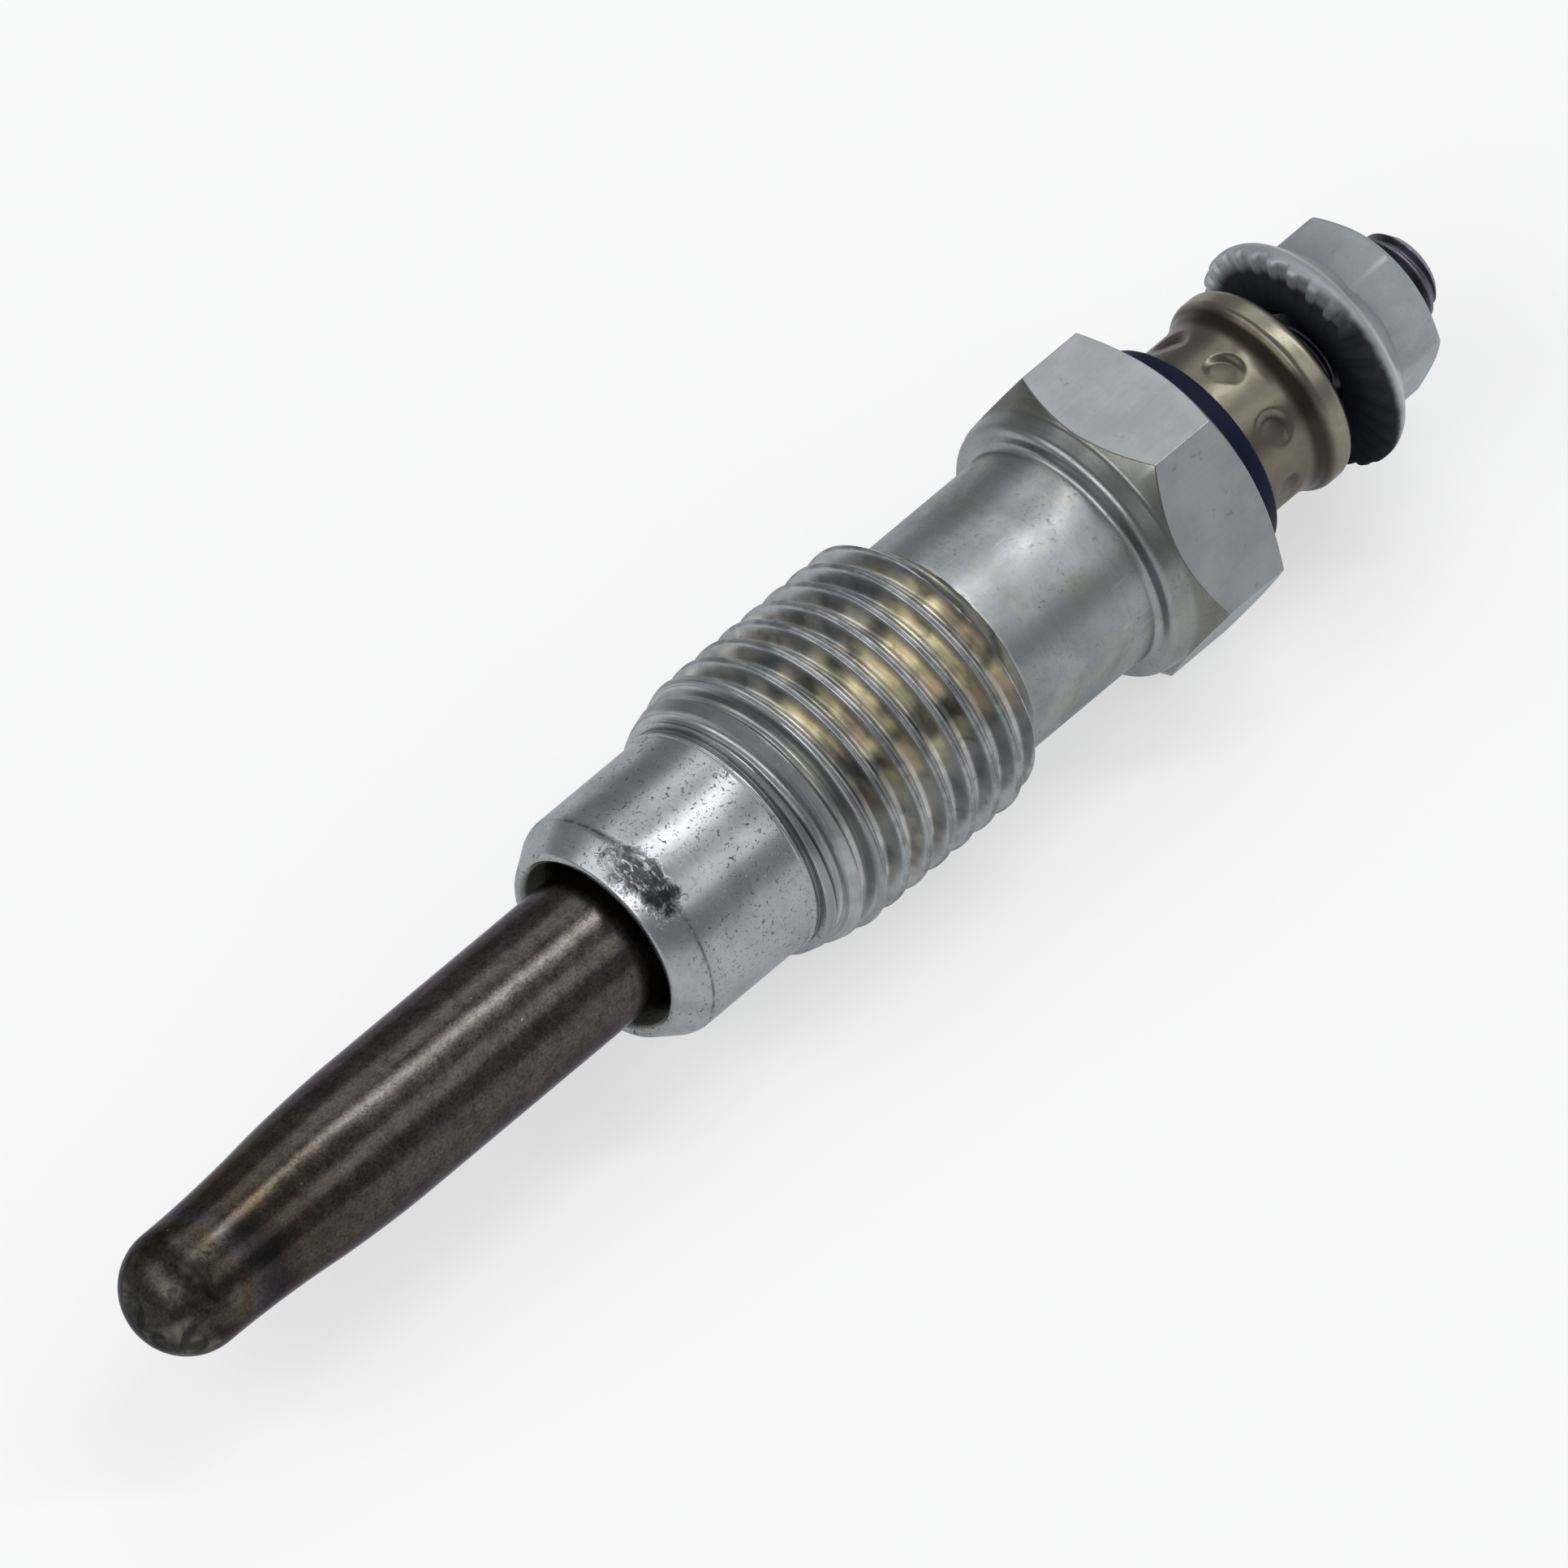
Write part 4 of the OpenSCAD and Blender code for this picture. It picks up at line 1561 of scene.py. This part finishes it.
@dataclass
class TerminalNut(Piece):
    """The flange nut with locking teeth under its flange.

    Tooth_phase, tooth_wall and tooth_gap are shares of one tooth's turn. Tooth_slant is a groove's depth
    at its start and what it gains over a turn, as shares of the full depth.
    """

    span: Span = Span.field("terminal_nut")
    across: float = 7.0
    flange_rim: float = 0.8
    cone_slope: float = 48.0
    bore_r: float = 2.04
    sink: float = 0.35
    tooth_count: int = 28
    tooth_depth: float = 0.3
    tooth_reach: float = 2.0
    tooth_turn: float = 6.0
    tooth_phase: float = 0.33
    tooth_wall: float = 0.10
    tooth_gap: float = 0.66
    tooth_slant: Range = (0.7, 0.45)
    ramp_foot: float = 0.2
    root_share: float = 0.6
    edge_share: float = 0.42
    seat_inset: float = 0.3
    flat_turn: float = 21.0
    flat_inner: float = 1.0
    flat_soft: float = 0.36
    flat_margin: float = 0.1
    corner_slope: float = 30.0
    top_share: float = 0.47
    top_round: float = 0.08
    longest: float = 0.25
    steps_per_tooth: int = 12
    steps: int = 120

    def build(self) -> None:
        """Turns the flange and the hexagon, cuts the teeth, joins both and dresses the nut."""
        flange = self._flange().to_object("terminal_nut_flange")
        hexagon = self._hexagon().to_object("terminal_nut_hexagon")
        nut = self._join(flange, hexagon)
        finish = FlangeZinc(
            "terminal_nut_zinc",
            colour=(0.440, 0.472, 0.485),
            dull=(0.380, 0.410, 0.425),
            rough=0.54,
            line_height=0.0001,
            line_tint=0.05,
            specks=0.10,
            stain=0.25,
            face=self.span.front,
        )
        self.settle(nut, "terminal_nut", Slot.TERMINAL_NUT, finish.material())

    def _flange(self) -> Workpiece:
        """The flange with its teeth.

        Returns:
            The turned and toothed workpiece.
        """
        front, rim = self.span.front, self.span.front + self.flange_rim
        edge = self.edge_share * self.flange_rim
        rise = (self.span.radius - self.across / 2) * math.tan(math.radians(self.cone_slope))
        work = Workpiece()
        work.draw(
            [
                Corner(front + self.sink, self.bore_r),
                Corner(front, self.bore_r + self.sink),
                Corner(front, self.span.radius, edge),
                Corner(rim, self.span.radius, edge),
                Corner(rim + rise, self.across / 2 - self.seat_inset),
                Corner(rim + rise, self.bore_r),
            ],
            closed=True,
            segments=5,
        )
        work.refine(self.longest)
        work.turn(self.tooth_count * self.steps_per_tooth)
        for vert in work.bm.verts:
            vert.co.x += self._groove(vert.co)
        return work

    def _groove(self, place: Vector) -> float:
        """How far a groove between two teeth goes in at a point.

        Args:
            place: a point of the flange.

        Returns:
            Depth in millimetres.
        """
        inner = self.span.radius - self.tooth_reach
        radius = place.yz.length
        if radius < inner:
            return 0.0
        turn = math.atan2(place.z, place.y) - math.radians(self.tooth_turn)
        share = (turn / (2 * math.pi) * self.tooth_count + self.tooth_phase) % 1.0
        wall_in = min(1.0, share / self.tooth_wall)
        wall_out = min(1.0, max(0.0, (self.tooth_gap - share) / self.tooth_wall))
        ramp = self.ramp_foot + (1.0 - self.ramp_foot) * (radius - inner) / self.tooth_reach
        near = min(1.0, max(0.0, 1.0 - (place.x - self.span.front) / (self.root_share * self.flange_rim)))
        shallow, gain = self.tooth_slant
        return self.tooth_depth * ramp * wall_in * wall_out * (shallow + gain * share) * near

    def _hexagon(self) -> Workpiece:
        """The hexagon with its chamfered top.

        Returns:
            The turned and cut workpiece.
        """
        front, rear = self.span.front + self.flange_rim / 2, self.span.rear
        over = self.across / 2 / math.cos(math.radians(30.0)) + self.flat_margin
        top = self.top_share * self.across
        slope = math.tan(math.radians(self.corner_slope))
        work = Workpiece()
        work.draw(
            [
                Corner(front, self.bore_r),
                Corner(front, over),
                Corner(rear - (over - top) * slope, over),
                Corner(rear, top, self.top_round),
                Corner(rear, self.bore_r + self.sink),
                Corner(rear - self.sink, self.bore_r),
            ],
            closed=True,
            segments=4,
        )
        work.turn(self.steps)
        low, high = front - self.flat_margin, rear + self.flat_margin
        work.cut_hexagon(self.across, self.flat_turn, low, high, self.flat_inner, self.flat_soft)
        return work

    def _join(self, flange: bpy.types.Object, hexagon: bpy.types.Object) -> bpy.types.Object:
        """Joins flange and hexagon in one closed mesh.

        Args:
            flange: the toothed flange.
            hexagon: the hexagon that stands in it.

        Returns:
            The whole nut.
        """
        union = flange.modifiers.new("join", "BOOLEAN")
        union.operation = "UNION"
        union.solver = "EXACT"
        union.object = hexagon
        graph = bpy.context.evaluated_depsgraph_get()
        mesh = bpy.data.meshes.new_from_object(flange.evaluated_get(graph))
        for part in (flange, hexagon):
            bpy.data.objects.remove(part)
        return add_object("terminal_nut_whole", mesh)


@dataclass
class TerminalStud(Piece):
    """The stud that carries the current, with its threaded end."""

    span: Span = Span.field("terminal_stud")
    sheath: Span = Span.field("heater_sheath")
    round_nut: Span = Span.field("round_nut")
    nose_r: float = 1.325
    nose_len: float = 2.8
    pin_r: float = 1.5
    step: float = 1.0
    pitch: float = 0.7
    chamfer: float = 0.5
    covered: float = 1.0
    relief: float = 0.45
    relief_len: float = 1.0
    crest_gap: float = 0.01
    overlap: float = 0.3
    hair: float = 0.02
    thread_grain: float = 0.10
    steps: int = 96

    def build(self) -> None:
        """Winds the thread, turns the rest and dresses the stud."""
        start = self._start()
        work = Workpiece()
        work.wind(self._thread(), self.steps, self.thread_grain)
        work.close(self.span.rear - self.hair, self.span.rear + self.hair)
        work.draw(self._outline())
        work.turn(self.steps)
        work.bridge(start - 3 * self.overlap, start)
        finish = DarkSteel("stud_dark_steel")
        self.settle(work.to_object("stud_rod"), "terminal_stud", Slot.STUD, finish.material())

    def _start(self) -> float:
        """Station where the thread starts, inside the round nut."""
        return self.round_nut.rear - self.covered

    def _limit(self, x: float) -> float:
        """Largest radius of the thread at a station.

        Args:
            x: the station.

        Returns:
            The radius of the relief, the crests or the chamfered end.
        """
        if x < self._start():
            return self.span.radius - self.relief
        crest_r = self.span.radius - self.crest_gap
        return min(crest_r, self.span.radius - self.chamfer + self.span.rear - x)

    def _thread(self) -> ScrewThread:
        """The terminal's thread.

        Returns:
            Its form and reach.
        """
        start = self._start()
        return ScrewThread(
            pitch=self.pitch,
            crest_r=self.span.radius - self.crest_gap,
            depth=DEPTH_PER_PITCH * self.pitch,
            crest_share=0.18,
            root_share=0.22,
            fold=0.0,
            front=start - self.overlap,
            rear=self.span.rear,
            crest_at=start,
            limit=self._limit,
        )

    def _outline(self) -> list[Corner]:
        """From the nose to the thread.

        Returns:
            The outline's corners.
        """
        start = self._start()
        step = self.sheath.rear + self.step
        return [
            Corner(self.span.front, 0.0),
            Corner(self.span.front, self.nose_r),
            Corner(self.span.front + self.nose_len, self.nose_r),
            Corner(self.span.front + self.nose_len, self.pin_r),
            Corner(step, self.pin_r),
            Corner(step + self.span.radius - self.pin_r, self.span.radius),
            Corner(start - self.relief_len, self.span.radius),
            Corner(start - 2 * self.overlap, self.span.radius - self.relief),
        ]


@dataclass
class InnerParts:
    """The sealed inner nodes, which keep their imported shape."""

    wire_heat: Colour = (0.46, 0.41, 0.34)
    wire_nickel: Colour = (0.60, 0.58, 0.54)

    def dress(self, nodes: dict[str, bpy.types.Object]) -> None:
        """Gives every inner node its finish.

        Args:
            nodes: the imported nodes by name.
        """
        rubber = DullFilling(
            "seal_rubber_black",
            colour=(0.020, 0.020, 0.021),
            shade=(0.035, 0.034, 0.034),
            rough=0.62,
            grain_size=6.0,
            grain_height=0.004,
        )
        powder = DullFilling(
            "packed_magnesia",
            colour=(0.86, 0.85, 0.80),
            shade=(0.78, 0.77, 0.72),
            rough=0.85,
            grain_size=9.0,
            grain_height=0.010,
        )
        seal = rubber.material()
        finishes = {
            "heating_coil": DrawnWire("heating_wire_bare", self.wire_heat).material(),
            "regulating_coil": DrawnWire("regulating_wire_bare", self.wire_nickel).material(),
            "insulating_powder": powder.material(),
            "sheath_seal": seal,
            "sealing_ring": seal,
        }
        for node, material in finishes.items():
            nodes[node].data.materials.clear()
            nodes[node].data.materials.append(material)
            LOG.info("%s: keeps its solid and gets %s", node, material.name)


@dataclass(frozen=True)
class Bearing:
    """A direction from the plug: its share along the axis, and its angle round it, from Y towards Z."""

    along: float
    angle: float

    def vector(self) -> Vector:
        """The direction with length 1.

        Returns:
            The vector in the frame of the solids.
        """
        turn = math.radians(self.angle)
        flat = math.sqrt(1.0 - self.along * self.along)
        return Vector((self.along, flat * math.cos(turn), flat * math.sin(turn)))


@dataclass(frozen=True)
class Lamp:
    """A soft panel of light that looks at the plug and reaches from one bearing to another."""

    name: str
    first: Bearing
    last: Bearing
    away: float
    width: float
    brightness: float
    colour: Colour = (1.0, 1.0, 1.0)

    def place(self, target: Vector) -> None:
        """Hangs the panel.

        Args:
            target: the point that it faces.
        """
        first, last = self.first.vector(), self.last.vector()
        back = (first + last).normalized()
        along = (last - first).normalized()
        across = back.cross(along)
        length = 2 * self.away * math.tan(first.angle(last) / 2)
        data = bpy.data.lights.new(self.name, "AREA")
        data.shape = "RECTANGLE"
        data.size = length
        data.size_y = self.width
        data.energy = self.brightness * math.pi * self.width * length
        data.color = self.colour
        lamp = add_object(self.name, data)
        turn = Matrix((along, across, back)).transposed()
        lamp.matrix_world = Matrix.Translation(target + back * self.away) @ turn.to_4x4()
        lamp.visible_camera = False


@dataclass
class Studio:
    """Floor, room and lamps."""

    floor_size: float = 6.0
    floor_colour: Colour = (0.94, 0.94, 0.94)
    floor_glow: float = 0.6
    room: Colour = (0.34, 0.345, 0.355)
    lamps: Sequence[Lamp] = (
        Lamp("key_strip", Bearing(0.24, 79.0), Bearing(0.70, 122.0), 0.60, 0.075, 8.0),
        Lamp("back_panel", Bearing(0.15, 56.0), Bearing(0.75, 56.0), 0.75, 0.30, 1.1, (0.95, 0.98, 1.0)),
        Lamp("front_panel", Bearing(0.15, 136.0), Bearing(0.75, 136.0), 0.75, 0.27, 1.15),
        Lamp("cone_panel", Bearing(-0.78, 50.0), Bearing(-0.42, 54.0), 0.75, 0.36, 2.2),
        Lamp("front_fill", Bearing(-0.74, 72.0), Bearing(-0.74, 126.0), 0.70, 0.30, 3.6),
    )

    def build(self, target: Vector) -> None:
        """Lays the floor, sets the room's colour and hangs the lamps.

        Args:
            target: the point that the lamps face.
        """
        self._lay_floor()
        world = bpy.data.worlds.new("room")
        world.use_nodes = True
        graph = Graph(world.node_tree)
        shade = graph.node("ShaderNodeBackground", None, {"Color": self.room, "Strength": 1.0})
        graph.node("ShaderNodeOutputWorld", None, {"Surface": shade})
        bpy.context.scene.world = world
        for lamp in self.lamps:
            lamp.place(target)
            LOG.info("lamp %s", lamp.name)

    def _lay_floor(self) -> None:
        """A pale floor that camera and metal see nearly white, and that keeps the plug's shadow."""
        bm = bmesh.new()
        half = self.floor_size / 2
        bmesh.ops.create_grid(bm, x_segments=2, y_segments=2, size=half)
        mesh = bpy.data.meshes.new("floor")
        bm.to_mesh(mesh)
        bm.free()
        floor = add_object("floor", mesh)
        material = bpy.data.materials.new("pale_floor")
        material.use_nodes = True
        graph = Graph(material.node_tree)
        rays = graph.tree.nodes.new("ShaderNodeLightPath")
        seen = Value(graph, rays.outputs["Is Camera Ray"])
        seen = seen.highest(Value(graph, rays.outputs["Is Glossy Ray"]))
        seen = seen.highest(Value(graph, rays.outputs["Is Transmission Ray"]))
        matt = graph.node("ShaderNodeBsdfDiffuse", None, {"Color": self.floor_colour})
        glow = graph.node("ShaderNodeEmission", None, {"Color": (1.0, 1.0, 1.0), "Strength": 1.0})
        both = graph.node("ShaderNodeMixShader", None, {0: seen * self.floor_glow, 1: matt, 2: glow})
        graph.node("ShaderNodeOutputMaterial", None, {"Surface": both})
        mesh.materials.append(material)


@dataclass
class PhotoCamera:
    """The camera at the photograph's viewing angle.

    The axis runs up to the right in the picture, its front end is nearer to the camera by the tilt,
    and the turn says how far round the axis the camera stands from the upper flat.
    """

    tilt: float = 27.0
    turn: float = 33.1
    rise: Range = (0.76753, 0.64102)
    pixels_per_mm: float = 32.5
    aim_along: float = 0.475
    aim_across: float = -0.131
    distance: float = 2.4
    sensor: float = 36.0
    clip: Range = (0.01, 20.0)

    def build(self) -> Vector:
        """Makes the camera.

        Returns:
            The point that it looks at.
        """
        tilt, turn = math.radians(self.tilt), math.radians(self.turn)
        axis = Vector((1.0, 0.0, 0.0))
        facing = Vector((0.0, -math.sin(turn), math.cos(turn)))
        across = Vector((0.0, -math.cos(turn), -math.sin(turn)))
        along = axis * math.cos(tilt) + facing * math.sin(tilt)
        back = facing * math.cos(tilt) - axis * math.sin(tilt)
        right = along * self.rise[0] + across * self.rise[1]
        up = along * self.rise[1] - across * self.rise[0]
        target = Vector((self.aim_along, 0.0, Axis.height())) + across * self.aim_across
        target = target * MM
        data = bpy.data.cameras.new("photo_camera")
        data.sensor_fit = "HORIZONTAL"
        data.sensor_width = self.sensor
        data.lens = self.sensor * self.distance / (PHOTO_WIDTH / self.pixels_per_mm * MM)
        data.clip_start, data.clip_end = self.clip
        camera = add_object("photo_camera", data)
        turned = Matrix((right, up, back)).transposed().to_4x4()
        camera.matrix_world = Matrix.Translation(target + back * self.distance) @ turned
        bpy.context.scene.camera = camera
        return target


def main() -> None:
    """Builds camera, pieces and studio in order."""
    logging.basicConfig(level=logging.INFO, format="%(message)s")
    bpy.context.scene.view_settings.view_transform = "Standard"
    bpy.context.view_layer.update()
    target = PhotoCamera().build()
    for piece in (HeaterSheath(), PlugBody(), InsulatingWasher(), RoundNut(), TerminalStud(), TerminalNut()):
        piece.build()
    InnerParts().dress(frame["nodes"])
    Studio().build(target)


if __name__ == "__main__":
    main()
